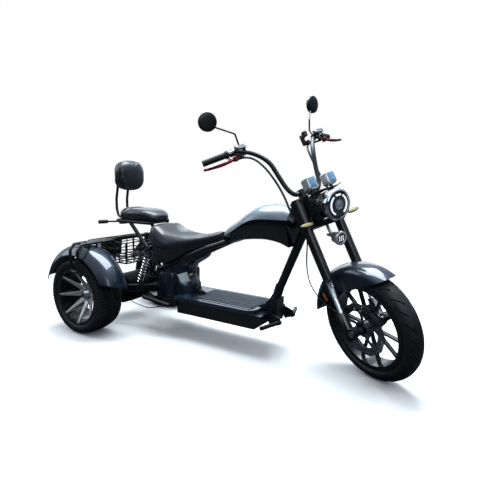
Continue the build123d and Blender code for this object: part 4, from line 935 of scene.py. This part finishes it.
for side, hand in HANDS:
    face_out = turned_frame(trike_frame, (0, side * REAR_WHEEL_Y, REAR_WHEEL_R), (0, side, 0))
    in_wheel = local_of(face_out)

    def rim_finish(point):
        """Chromed cap, bright blades, black barrel."""
        p = in_wheel(point)
        r = hypot(p.x, p.y)
        if r < CAP_R + 0.5 and p.z > -1:
            return 2
        ridge = BLADE_ROOT_Z + (r - BLADE_ROOT_R) * BLADE_SLOPE
        return 1 if r < BLADE_REACH and abs(p.z - ridge) < BLADE_DEPTH else 0

    refinished(
        "rear_rim_" + hand, "rear_wheel_casting_" + hand, "rear_wheel_" + hand, "rim_black",
        [rim_enamel, machined, chrome], rim_finish)
    bolts(
        "wheel_nuts_" + hand, "rear_wheel_" + hand, shifted(face_out, 0, 0, -4), 5, 41, 8, 14,
        chrome)
    bolts(
        "rim_bolts_" + hand, "rear_wheel_" + hand, shifted(face_out, 0, 0, 76), 20, 182, 3.2, 5,
        machined, 8)

# ---- front wheel and disc
# The spoked casting is enamelled gloss black; the disc is sawn and drilled from 4 mm steel plate,
# dark from brake dust, with a scalloped edge.
finish_node(rim_enamel, "front_rim")
disc_steel = finish(
    "disc_steel", "#83868a", "#5b5e62", 25, (0.28, 0.45, 20), 0.85, relief=(2, 0.05))
DISC_OUT_R, DISC_IN_R, CARRIER_R, DISC_BORE = 140.0, 98.0, 46.0, 30.0
DISC_THICK, DISC_B, SCALLOP = 4.0, -60.0, 2.4
# Slots: how many round, their half width in turns, and from row to row where each begins and ends
HOLES_ROUND, HOLE_HALF, HOLE_ROW, HOLE_FROM, HOLE_TO, RIM = 40, 0.16, 9, 2.5, 7.5, 4
# Arms: how many, where they start in turns, over how many mm they sweep back by one pitch; their
# half width at the waist in turns, and by how much it grows over how many mm from there
DISC_ARMS, ARM_START, ARM_SWEEP = 5, 20 / 72, 260
ARM_HALF, ARM_FLARE, WAIST_R, WAIST_REACH = 0.085, 0.05, 74, 26
AROUND, OUTWARD = 300, 30


def plate_there(angle, r):
    """Whether the sawn plate has metal at an angle in turns and a radius."""
    if r > DISC_IN_R:
        row, within = divmod(r - DISC_IN_R - RIM, HOLE_ROW)
        hole = (angle * HOLES_ROUND + row / 3) % 1
        return not (
            abs(hole - 0.5) < HOLE_HALF and HOLE_FROM < within < HOLE_TO and r < DISC_OUT_R - RIM)
    if r < CARRIER_R:
        return True
    arm = (angle * DISC_ARMS - ARM_START - (r - CARRIER_R) / ARM_SWEEP) % 1
    return abs(arm - 0.5) < ARM_HALF + ARM_FLARE * abs(r - WAIST_R) / WAIST_REACH


cells, plate_points = [], []
for i in range(AROUND):
    for j in range(OUTWARD + 1):
        r = DISC_BORE + (DISC_OUT_R - DISC_BORE) * j / OUTWARD
        turn = 2 * pi * i / AROUND
        wave = SCALLOP * sin(10 * turn) if r > DISC_OUT_R - 1 else 0
        edge = r - SCALLOP + wave
        plate_points.append(at_mm(fork_frame, edge * cos(turn), DISC_B, edge * sin(turn)))
        if j < OUTWARD and plate_there(
                (i + 0.5) / AROUND, r + 0.5 * (DISC_OUT_R - DISC_BORE) / OUTWARD):
            k, n = i * (OUTWARD + 1) + j, (i + 1) % AROUND * (OUTWARD + 1) + j
            cells.append((k, k + 1, n + 1, n))
disc = make_piece("brake_disc", plate_points, cells, [disc_steel], 30)
spare = bmesh.new()
spare.from_mesh(disc.data)
bmesh.ops.delete(spare, geom=[v for v in spare.verts if not v.link_faces], context="VERTS")
spare.to_mesh(disc.data)
spare.free()
modify(disc, "SOLIDIFY", thickness=DISC_THICK / 1000, offset=0)
hang_on(disc, "front_wheel", "bright_steel", "front_disc")
disc_face = turned_frame(fork_frame, (0, DISC_B - DISC_THICK / 2, 0), (0, -1, 0))
bolts("disc_bolts", "front_wheel", disc_face, 5, 38, 5, 4, chrome)

# ---- piping on the pillion
# A round cord in the same leather closes the seam across the cushion: a smooth line with a round
# section.
def tube_along(name, points, radius, material, kind="POLY"):
    """A wire or round seam through points in metres, as a mesh."""
    holder = shown(name + "_path", round_line(name, points, radius, kind, 3))
    mesh = bpy.data.meshes.new_from_object(holder)
    bpy.data.objects.remove(holder)
    mesh.materials.clear()
    mesh.materials.append(material)
    mesh.shade_smooth()
    return outwards(shown(name, mesh))


SEAM_X, SEAM_LIFT = 97.0, 3.2
seam_points = [
    at_mm(trike_frame, SEAM_X, y, z + SEAM_LIFT)
    for y, z in ((-109, 771), (-98, 779), (-79, 785.6), (-44, 789), (0, 790), (44, 789),
                 (79, 785.6), (98, 779), (109, 771))]
hang_on(
    tube_along("pillion_piping", seam_points, 2.6, leather, "NURBS"), "chassis", "leather_black")

# ---- front caliper
# A cast two-pot caliper over the front of the disc, on a flat bracket that reaches back to the
# fork: blocks bent round the axle, with turned pots and bolts.
# Sand-cast alloy, dark and matt, with its pits drawn at 2.5 mm so that they show.
cast_grey = finish("cast_grey", "#3b3e41", "#25282a", 18, (0.35, 0.5, 15), 0.7, relief=(2.5, 0.3))


def lathe(name, place, outline, materials, steps=64, crease=35):
    """A turned piece: outline of height along the place's Z and radius, closed on its axis."""
    rows = [(h, r) for h, r in outline if r > 0.01]
    points = [
        at_mm(place, r * cos(2 * pi * k / steps), r * sin(2 * pi * k / steps), h)
        for h, r in rows for k in range(steps)]
    faces = grid(len(rows), steps, tube=True)
    for end, (h, r) in ((0, outline[0]), (len(rows) - 1, outline[-1])):
        points.append(at_mm(place, 0, 0, h))
        faces += [
            (end * steps + k, end * steps + (k + 1) % steps, len(points) - 1) for k in range(steps)]
    return outwards(make_piece(name, points, faces, materials, crease))


def slab(name, rows, material, crease):
    """A solid through equal outlines, with a flat face at each end."""
    count = len(rows[0])
    points = [p for row in rows for p in row]
    ends = [tuple(range(count)), tuple(range(len(points) - count, len(points)))]
    faces = grid(len(rows), count, tube=True) + ends
    return outwards(make_piece(name, points, faces, [material], crease))


def sector(name, r0, r1, a0, a1, b0, b1, bevel, steps=14):
    """A block bent round the front axle, between two radii, two angles and two widths."""
    rows = []
    for k in range(steps + 1):
        a = radians(a0 + (a1 - a0) * k / steps)
        rows.append([
            at_mm(fork_frame, r * cos(a), b, r * sin(a))
            for r, b in ((r0, b0), (r1, b0), (r1, b1), (r0, b1))])
    block = slab(name, rows, cast_grey, 30)
    modify(
        block, "BEVEL", width=bevel / 1000, segments=2, limit_method="ANGLE",
        angle_limit=radians(40))
    return block


hang_on(
    sector("caliper_outer", 98, 142, 4, 46, -82, -68, 4), "steering", "caliper_black",
    "front_caliper")
blocks = [("caliper_inner", 98, 142, 4, 46, -52, -44, 3)]
for k, (a0, a1) in enumerate(((2, 16), (34, 48))):
    blocks += [
        ("caliper_bridge_%d" % k, 144.5, 156, a0, a1, -80, -44, 3),
        ("caliper_cheek_%d" % k, 136, 150, a0, a1, -82, -67, 3),
        ("caliper_heel_%d" % k, 136, 150, a0, a1, -53, -44, 3)]
for block in blocks + [("caliper_bracket", 104, 132, 42, 113, -84, -78, 2, 24)]:
    hang_on(sector(*block), "steering", "caliper_black")
for k, (pot_at, lug_at) in enumerate(((14, 54), (36, 72))):
    pot_at, lug_at = radians(pot_at), radians(lug_at)
    pot = turned_frame(fork_frame, (120 * cos(pot_at), -80, 120 * sin(pot_at)), (0, -1, 0))
    hang_on(
        lathe(
            "caliper_pot_%d" % k, pot,
            [(0, 0), (0, 15), (4, 15), (5.5, 13), (5.5, 9), (4, 8), (4, 0)], [cast_grey], 40),
        "steering", "caliper_black")
    lug = turned_frame(fork_frame, (118 * cos(lug_at), -84, 118 * sin(lug_at)), (0, -1, 0))
    hang_on(
        lathe("bracket_bolt_%d" % k, lug, [(0, 0), (0, 6), (4, 6), (5, 4), (5, 0)], [machined], 6),
        "steering", "bright_steel")

# ---- headlight
# A chromed bowl with a black inner ring, a smoked lens over it, two bright curved light guides
# and a projector in the middle.
# Level and straight ahead, in the raked fork's own frame
LEVEL = Vector((cos(radians(26.1)), 0, -sin(radians(26.1))))
lamp_place = turned_frame(fork_frame, (125, 0, 614), LEVEL)
# Plated ABS: a paler and softer mirror than chrome.
plated = finish("plated_plastic", "#e6e8ea", "#c4c8cc", 30, (0.24, 0.36, 25), 0.55)
# Smoked polycarbonate: nearly black, with sharp highlights.
smoked = finish("smoked_lens", "#323b43", "#46515a", 30, 0.06, Coat_Weight=1.0)
# Acrylic lit from its ends: it glows an even white.
light_guide = finish(
    "light_guide", "#f2f4f6", "#dfe4e8", 12, 0.2, Emission_Strength=0.9,
    Emission_Color=linear("#f4f6f8"))
# Pressed glass: grey, with small bright glints from its steps.
pearl = finish("projector_glass", "#8b9298", "#a9b0b6", 14, (0.08, 0.2, 10), Coat_Weight=1.0)
# Name, outline, material, steps, crease, slot and the CAD piece it stands for
LAMP = (
    ("headlight_bowl",
     [(-90, 0), (-88, 24), (-80, 44), (-62, 66), (-40, 77), (-16, 80), (-6, 80), (0, 78),
      (4, 72), (4.5, 68), (1, 66), (-6, 65), (-6, 0)], chrome, 96, 50, "chrome_trim",
     "headlight"),
    ("headlight_ring", [(-6, 0), (-2, 66), (2.5, 66), (2.5, 62), (-2, 60), (-3, 0)], cast_grey,
     96, 50, "plastic_black"),
    ("headlight_lens", [(-2.5, 0), (-2, 60), (0, 60), (2.5, 42), (4, 20), (4.5, 0)], smoked, 96,
     60, "chrome_trim"),
    ("headlight_projector",
     [(3, 0), (3, 25), (6.5, 25), (7.5, 22), (6, 19), (7, 16), (8, 15), (6.5, 12), (7.5, 9),
      (9, 6), (9.5, 0)], pearl, 64, 30, "chrome_trim"))
for name, outline, material, steps, crease, slot, *node in LAMP:
    hang_on(lathe(name, lamp_place, outline, [material], steps, crease), "steering", slot, *node)
GUIDE_R = 51.0
for side, hand in HANDS:
    arc = [
        at_mm(lamp_place, side * GUIDE_R * cos(radians(a)), GUIDE_R * sin(radians(a)), 3.0)
        for a in range(-56, 57, 4)]
    hang_on(tube_along("light_guide_" + hand, arc, 4.0, light_guide), "steering", "chrome_trim")
hang_on(
    stacked(
        "headlight_crest", shifted(lamp_place, 0, 50, 0),
        [(2, 15, 4, 2), (6, 15, 4, 2), (7, 13, 3, 2)], [light_guide]), "steering", "chrome_trim")

# ---- spot lamp
# A small chromed lamp, turned, with a deep ring and three upright light bars behind its glass,
# on a bent stay with a plated gusset.
spot_place = turned_frame(fork_frame, (48, 0, 456), LEVEL)
hang_on(
    lathe(
        "spot_shell", spot_place,
        [(-58, 0), (-56, 14), (-44, 28), (-20, 30), (-14, 36), (0, 36), (3, 33), (3, 27),
         (-4, 25), (-4, 0)], [plated], 64, 50), "steering", "chrome_trim", "spot_lamp")
hang_on(
    lathe(
        "spot_lens", spot_place, [(-5, 0), (-5, 25), (-2, 25), (-0.5, 14), (0, 0)], [smoked], 48,
        60), "steering", "chrome_trim")
stay = [at_mm(fork_frame, *p) for p in ((12, 0, 473), (-15, 0, 514), (-15, 0, 555.5))]
hang_on(tube_along("spot_stay", stay, 8, plated), "steering", "chrome_trim")
# Ahead, up the steering axis
GUSSET = [(-34, 508), (34, 500), (44, 484), (38, 466), (20, 468), (-34, 498)]
rows = [[at_mm(fork_frame, a, b, c) for a, c in GUSSET] for b in (-12, -9)]
hang_on(slab("spot_gusset", rows, plated, 30), "steering", "chrome_trim")
tree, keys, given = new_tree("row_of_bars", Count="Int", Step="Vector", Size="Vector")
line_of = add(tree, "GeometryNodeMeshLine", {"Count": given["Count"], "Offset": given["Step"]})
one_bar = add(tree, "GeometryNodeMeshCube", {"Size": given["Size"]})
laid = add(
    tree, "GeometryNodeInstanceOnPoints",
    {"Points": line_of.outputs[0], "Instance": one_bar.outputs[0]})
row_of_bars = close_tree(tree, keys, laid.outputs[0], given["Finish"])


def bars(name, body, place, count, step, size, material, slot):
    """A row of small bars in a place, sizes in mm."""
    piece = grown(
        name, row_of_bars,
        {"Count": count, "Step": [s / 1000 for s in step], "Size": [s / 1000 for s in size],
         "Finish": material}, place)
    return hang_on(piece, body, slot)


bars(
    "spot_bars", "steering", shifted(spot_place, -12, 0, -0.5), 3, (12, 0, 0), (3.6, 27, 2),
    light_guide, "chrome_trim")

# ---- signals and lamps
# Almond-shaped indicators on short stalks: a clear amber-tinted lens in a dark surround. The
# rear lamps are the CAD piece, red in the middle and amber at the ends.
# Moulded acrylic, tinted in the mass: glossy lenses of clear amber, amber and red.
amber_clear = finish("amber_clear", "#d8cf9c", "#c9b97c", 12, (0.1, 0.22, 8), Coat_Weight=0.8)
amber_lens = finish("amber_lens", "#c96f1e", "#b85a14", 10, (0.1, 0.2, 8), Coat_Weight=1.0)
red_lens = finish("red_lens", "#6e0a10", "#8a1016", 10, (0.08, 0.18, 8), Coat_Weight=1.0)
# Height, half width, half depth, corner
ALMOND = [
    (0, 4, 4, 3), (8, 8, 6, 5), (22, 11.5, 7.5, 7), (44, 12, 8, 7.5), (62, 10, 6.5, 6),
    (74, 6, 4.5, 4), (80, 2.5, 2.5, 2)]
for side, hand in HANDS:
    stem = turned_frame(fork_frame, (35, side * 120, 574), (0, side, 0.05))
    hang_on(
        stacked(
            "signal_surround_" + hand, stem, [(h, v * 0.95, u, c * 0.8) for h, u, v, c in ALMOND],
            [moulded_black], 60), "steering", "plastic_black",
        *(["front_signals"] if side > 0 else []))
    for facing in (1, -1):
        lens_place = shifted(stem, facing * 2.2, 0, 4)
        hang_on(
            stacked(
                "signal_lens_" + hand + ("_front" if facing > 0 else "_rear"), lens_place,
                [(h * 0.9, v * 0.93, u * 0.8, c * 0.7) for h, u, v, c in ALMOND], [amber_clear],
                60), "steering", "amber_lens")
TAIL_Y, TAIL_X, BLINK_Y, BLINK_X = 0.060, -0.012, 0.135, -0.0735


def tail_finish(point):
    """Red in the middle, amber at the ends, black elsewhere. The limits are in metres."""
    if abs(point.y) < TAIL_Y and point.x < rear_x + TAIL_X:
        return 0
    return 1 if abs(point.y) > BLINK_Y and point.x < rear_x + BLINK_X else 2


refinished(
    "rear_lamps", "tail_lamps", "chassis", "red_lens", [red_lens, amber_lens, moulded_black],
    tail_finish)

# ---- instruments
# Two plated pods through rounded rectangles: glass ahead, its pale blue a painted reflection of the
# sky, and a dark dial with a needle towards the rider.
# Glass coloured pale blue as a painted reflection of the sky, and a dial behind clear glass: both
# mirror sharply.
pod_glass_painted_sky = finish(
    "pod_glass_painted_sky", "#5f86bb", "#7fb0c6", 40, (0.06, 0.14, 20), Coat_Weight=1.0, Coat_Roughness=0.02)
dial_black = finish("dial_black", "#0c1016", "#141b24", 20, 0.12, Coat_Weight=1.0)
for side, hand in HANDS:
    pod = turned_frame(fork_frame, (58, side * 64, 769), (1, 0, 0))
    hang_on(
        stacked(
            "pod_shell_" + hand, pod,
            [(-28, 22, 27, 12), (-26, 27, 33, 14), (-14, 29, 35, 14), (18, 29, 35, 14),
             (26, 27, 33, 13), (28, 24, 30, 11)], [plated], 40), "steering", "chrome_trim",
        *(["instruments"] if side > 0 else []))
    hang_on(
        stacked(
            "pod_glass_painted_sky_" + hand, pod,
            [(26, 21, 27, 9), (29.5, 21, 27, 9), (31, 18, 24, 8), (31.5, 8, 12, 5)], [pod_glass_painted_sky],
            50), "steering", "chrome_trim")
    hang_on(
        stacked(
            "dial_" + hand, pod, [(-29.5, 22, 22, 21), (-28, 24, 24, 23), (-26, 24, 24, 23)],
            [dial_black], 50), "steering", "plastic_black")
    bars(
        "dial_needle_" + hand, "steering", shifted(pod, 4, 4, -29.7), 1, (0, 0, 0), (1.6, 16, 1),
        light_guide, "chrome_trim")

# ---- handlebar
# One long steel tube, 25 mm, bent cold in wide curves and coated black: a curve through its
# bends, the same on both sides.
# Its points on the left half: ahead, to the left, up the steering axis
BAR = [
    (-220, 440, 1086), (-160, 330, 1084), (-131, 277, 1083), (-99, 208, 1048), (-66, 152, 972),
    (-71, 131, 891), (-69, 112, 800), (-64, 84, 758), (-60, 50, 756)]
bar_points = [at_mm(fork_frame, *p) for p in BAR + [(a, -b, c) for a, b, c in BAR[::-1]]]
hang_on(
    tube_along("handlebar_tube", bar_points, 12.5, gloss_coat, "NURBS"), "steering", "frame_black",
    "handlebar")

# ---- controls
# Levers in dark red anodised aluminium, black perches, and brake-fluid cups with bright bodies;
# the grips are ribbed rubber over the bar.
# Anodised aluminium keeps a satin metal sheen under its dye; bright alloy has no dye.
red_anodised = finish("red_anodised", "#5c0d22", "#78142c", 20, (0.24, 0.38, 15), 0.75)
bright_alloy = finish("bright_alloy", "#c4c8cb", "#a2a7ab", 15, (0.24, 0.4, 12), 0.85)
# Where one finish ends and the next begins, in the fork's own frame
CUP_FOOT, CUP_LID, LEVER_ROOT, LEVER_AHEAD, LEVER_TIP = 1076, 1094, 296, -100, 400


def control_finish(point):
    """Red levers but for the left one's tip, bright cups, a red lid on the right one."""
    p = in_fork(point)
    if p.z > CUP_FOOT:
        return 2 if p.z < CUP_LID or p.y > 0 else 0
    return 0 if abs(p.y) > LEVER_ROOT and p.x < LEVER_AHEAD and p.y < LEVER_TIP else 1


refinished(
    "control_levers", "control_perches", "steering", "alloy_lever",
    [red_anodised, moulded_black, bright_alloy], control_finish)
for side, hand in HANDS:
    blade = [
        at_mm(fork_frame, a, side * b, c)
        for a, b, c in ((-113, 316, 1036), (-128, 366, 1026), (-146, 420, 1026), (-166, 478, 1032))]
    hang_on(
        tube_along("lever_blade_" + hand, blade, 7.2, red_anodised, "NURBS"), "steering",
        "alloy_lever")
    hang_on(
        lathe(
            "lever_pivot_" + hand, shifted(fork_frame, -112, side * 308, 1037),
            [(-11, 0), (-11, 13), (-9, 15), (9, 15), (11, 13), (11, 0)], [red_anodised], 32),
        "steering", "alloy_lever")
# Soft rubber, matt, its ribs running round the bar.
grip_rubber = finish(
    "grip_rubber", "#08090b", "#111316", 20, 0.55, relief=(3.0, 0.5), stretch=(1, 0.12, 1))
finish_node(grip_rubber, "grips")
MIRROR_AT, MIRROR_TURN = (-152, 363, 1281), radians(15)
# Silvered glass: a clean mirror.
silvered = finish("silvered_glass", "#c9d2da", "#bcc6d0", 60, (0.01, 0.03, 40), 1.0)
for side, hand in HANDS:
    aim = Vector((LEVEL.x * cos(MIRROR_TURN), side * LEVEL.x * sin(MIRROR_TURN), LEVEL.z))
    mirror = turned_frame(fork_frame, (MIRROR_AT[0], side * MIRROR_AT[1], MIRROR_AT[2]), aim)
    hang_on(
        lathe(
            "mirror_glass_" + hand, mirror, [(-8.4, 0), (-8.4, 44), (-7.6, 46), (-6, 46), (-6, 0)],
            [silvered], 64), "steering", "chrome_trim")
    hang_on(
        lathe(
            "mirror_back_" + hand, mirror,
            [(7, 0), (7, 50.4), (9, 50.3), (11, 46), (12.5, 30), (13, 0)], [gloss_coat], 64, 60),
        "steering", "plastic_black")


def tapered_box(name, place, half, ends, body):
    """A black moulded block in a place: its half sizes, and per end how high and how wide."""
    layers = [(half[2] * h, half[0] * w, half[1] * w, corner) for h, w, corner in ends]
    hang_on(stacked(name, place, layers, [moulded_black]), body, "plastic_black")


# A clip-on holder on the left bar, folded away.
for k, (at, half) in enumerate(
        (((-126, 194, 1098), (14, 12, 15)), ((-160, 196, 1074), (7, 13, 32)),
         ((-138, 199, 1050), (20, 9, 9)), ((-150, 205, 1092), (16, 7, 6)))):
    tapered_box(
        "bar_holder_%d" % k, shifted(fork_frame, *at), half,
        ((-1, 0.8, 3), (-0.85, 1, 4), (0.85, 1, 4), (1, 0.8, 3)), "steering")

# ---- wiring behind the headlight
# Connector blocks and relays between the clamps, moulded in black, held by small bright screws
# and with bright pins ahead.
for k, (at, half) in enumerate(
        (((46, -60, 664), (20, 16, 22)), ((22, -52, 604), (22, 18, 24)),
         ((46, 58, 660), (20, 16, 22)), ((24, 50, 606), (22, 18, 24)),
         ((40, -20, 690), (16, 26, 12)), ((26, 0, 560), (18, 40, 12)))):
    tapered_box(
        "connector_%d" % k, shifted(fork_frame, *at), half,
        ((-1, 0.85, 3), (-0.88, 1, 4), (0.88, 1, 4), (1, 0.85, 3)), "steering")
    outer = 1 if at[1] > 0 else -1
    side_face = turned_frame(fork_frame, (at[0], at[1] + outer * half[1], at[2]), (0, outer, 0))
    bolts(
        "connector_screws_%d" % k, "steering", side_face, 4, min(half) * 0.8, 2.6, 3, bright_alloy,
        8)
    front_face = turned_frame(fork_frame, (at[0] + half[0], at[1], at[2]), (1, 0, 0))
    bolts(
        "connector_pins_%d" % k, "steering", front_face, 3, min(half) * 0.6, 2.4, 3, bright_alloy,
        8)

# ---- shocks
# Coil-over dampers: a chromed spring round a bright rod, and black castings turned on the same
# axis.
tree, keys, given = new_tree(
    "coil_spring", Turns="Float", Coil="Float", Length="Float", Wire="Float")
helix = add(
    tree, "GeometryNodeCurveSpiral",
    {"Resolution": 28, "Rotations": given["Turns"], "Start Radius": given["Coil"],
     "End Radius": given["Coil"], "Height": given["Length"]})
section = add(tree, "GeometryNodeCurvePrimitiveCircle", {"Resolution": 10, "Radius": given["Wire"]})
wound = add(
    tree, "GeometryNodeCurveToMesh",
    {"Curve": helix.outputs[0], "Profile Curve": section.outputs[0], "Fill Caps": True})
coil_spring = close_tree(tree, keys, wound.outputs[0], given["Finish"])
SHOCK_TOP, SHOCK_FOOT = (326, 118, 550), (215, 118, 274)
for side, hand in HANDS:
    top, foot = (Vector((x, side * y, z)) for x, y, z in (SHOCK_TOP, SHOCK_FOOT))
    run = foot - top
    strut = turned_frame(trike_frame, top, run)
    reach = run.length
    hang_on(
        lathe(
            "damper_rod_" + hand, strut, [(20, 0), (20, 6), (reach - 70, 6), (reach - 70, 0)],
            [ground_steel], 24), "chassis", "bright_steel", *(["rear_shocks"] if side > 0 else []))
    # Name, place, outline and steps of the black castings
    castings = [
        ("damper_body_" + hand, strut,
         [(reach - 92, 0), (reach - 92, 13), (reach - 20, 13), (reach - 18, 0)], 32)]
    for k, at in enumerate((64, 258)):
        castings.append(
            ("spring_seat_%d_%s" % (k, hand), strut,
             [(at - 4, 0), (at - 4, 20), (at - 2, 21.5), (at + 4, 21.5), (at + 5, 0)], 40))
    for k, (at, inward) in enumerate(((0, 1), (reach, -1))):
        eye = turned_frame(trike_frame, top + run * (at / reach), (0, 1, 0))
        castings.append(
            ("damper_eye_%d_%s" % (k, hand), eye,
             [(-15, 0), (-15, 15), (-13, 16.5), (13, 16.5), (15, 15), (15, 0)], 32))
        castings.append(
            ("damper_neck_%d_%s" % (k, hand), strut,
             [(at + inward * h, r) for h, r in ((12, 0), (12, 9), (24, 9), (24, 0))], 24))
    for name, place, outline, steps in castings:
        hang_on(lathe(name, place, outline, [black_casting], steps), "chassis", "plastic_black")
    spring = grown(
        "spring_" + hand, coil_spring,
        {"Turns": 8.5, "Coil": 0.0175, "Length": 0.186, "Wire": 0.0033, "Finish": chrome},
        shifted(strut, 0, 0, 68))
    hang_on(spring, "chassis", "chrome_trim")

# ---- floorboard
# Moulded panel in the body colour, glossy, with a long ribbed grey mat down its middle, and the
# sweep that runs up the down tube.
floor_panel = finish(
    "floor_panel", "#17222f", "#26374a", 60, (0.24, 0.36, 60), 0.2, Coat_Weight=0.45,
    Coat_Roughness=0.15)
finish_node(floor_panel, "floorboard")
# Moulded rubber mat: grey and dull beside the panel.
mat_rubber = finish(
    "mat_rubber", "#2c3846", "#3a4857", 50, (0.36, 0.5, 60), relief=(3, 0.2), Coat_Weight=0.1,
    Coat_Roughness=0.3)
bars(
    "floor_ribs", "chassis", shifted(trike_frame, 900, -105, 274.5), 15, (0, 15, 0), (420, 6, 5),
    mat_rubber, "floor_grey")
# X and Z round the side of the sweep
SWEEP = [
    (1086, 270), (1120, 277), (1152, 294), (1180, 324), (1202, 366), (1218, 420), (1232, 420),
    (1216, 352), (1200, 300), (1190, 262), (1150, 262), (1100, 262)]
SWEEP_MID, SWEEP_WAIST = Vector((1165, 310)), 300
rows = []
for y, inset in ((-40, 3), (-36, 0), (36, 0), (40, 3)):
    row = []
    for x, z in SWEEP:
        away = Vector((x, z)) - SWEEP_MID
        drawn_in = SWEEP_MID + away * (1 - inset / away.length)
        row.append(
            at_mm(trike_frame, drawn_in.x, y * (1.0 if z < SWEEP_WAIST else 0.72), drawn_in.y))
    rows.append(row)
hang_on(slab("floor_sweep", rows, floor_panel, 50), "chassis", "floor_grey")
# The seat lock's latch ahead of the shell's nose.
for k, (at, half) in enumerate(
        (((672, -18, 284), (24, 10, 12)), ((650, -26, 296), (12, 8, 16)),
         ((694, -10, 280), (16, 7, 6)))):
    tapered_box(
        "seat_latch_%d" % k, shifted(trike_frame, *at), half,
        ((-1, 0.9, 3), (0.6, 1, 4), (1, 0.7, 4)), "chassis")
# Two blank stickers on the shell's flank.
# Vinyl film: pale, satin and a little uneven in tone.
label_film = finish("label_film", "#dfe4e8", "#cfd6dc", 12, (0.4, 0.5, 10))
yellow_film = finish("yellow_film", "#c4bf8c", "#b4ae7c", 12, (0.4, 0.5, 10))
LABEL_LIFT = 1.3
# Each lies on the curve of the nose: its middle and half size round the nose in degrees, its middle
# and half size in height, how much it rises along its width, and how much it leans in degrees.
STICKERS = (
    ("label_large", label_film, 41, 16, 376, 29, 7, 3),
    ("label_small", yellow_film, 14, 8, 393, 6, 2, 0))
for name, film, middle, wide, z_middle, tall, rise, lean in STICKERS:
    points = []
    for i in range(13):
        for j in range(5):
            across, raised = i / 6 - 1, j / 2 - 1
            a = radians(middle - wide * across + lean * raised)
            z = z_middle + tall * raised + rise * across
            below, above = next((p, q) for p, q in zip(SHELL, SHELL[1:]) if p[0] <= z <= q[0])
            nose = below[2] + (above[2] - below[2]) * (z - below[0]) / (above[0] - below[0])
            r = SHELL_HALF + LABEL_LIFT
            points.append(at_mm(trike_frame, nose - SHELL_HALF + r * cos(a), -r * sin(a), z))
    label = outwards(make_piece(name, points, grid(13, 5), [film]))
    if label.data.polygons[0].normal.y > 0:
        label.data.flip_normals()
    modify(label, "SOLIDIFY", thickness=0.0008, offset=0)
    hang_on(label, "chassis", "plastic_black")

# ---- fender details
# An amber reflector on each side behind the fork, pressed into a dark surround: both through
# rounded rectangles.
REFLECTOR_AT = (-158, 80.5, 200)
for side, hand in HANDS:
    pit = turned_frame(
        fork_frame, (REFLECTOR_AT[0], side * REFLECTOR_AT[1], REFLECTOR_AT[2]), (0, side, 0))
    tilt = pit @ Matrix.Rotation(radians(-14 * side), 4, "Z")
    hang_on(
        stacked(
            "reflector_case_" + hand, tilt, [(-9, 12, 26, 10), (0, 12, 26, 11), (1, 11, 25, 10)],
            [moulded_black], 40), "steering", "plastic_black")
    hang_on(
        stacked(
            "reflector_" + hand, tilt, [(0, 9.5, 23, 9), (2.2, 9.5, 23, 9), (3, 7, 20, 7)],
            [amber_lens], 40), "steering", "amber_lens")
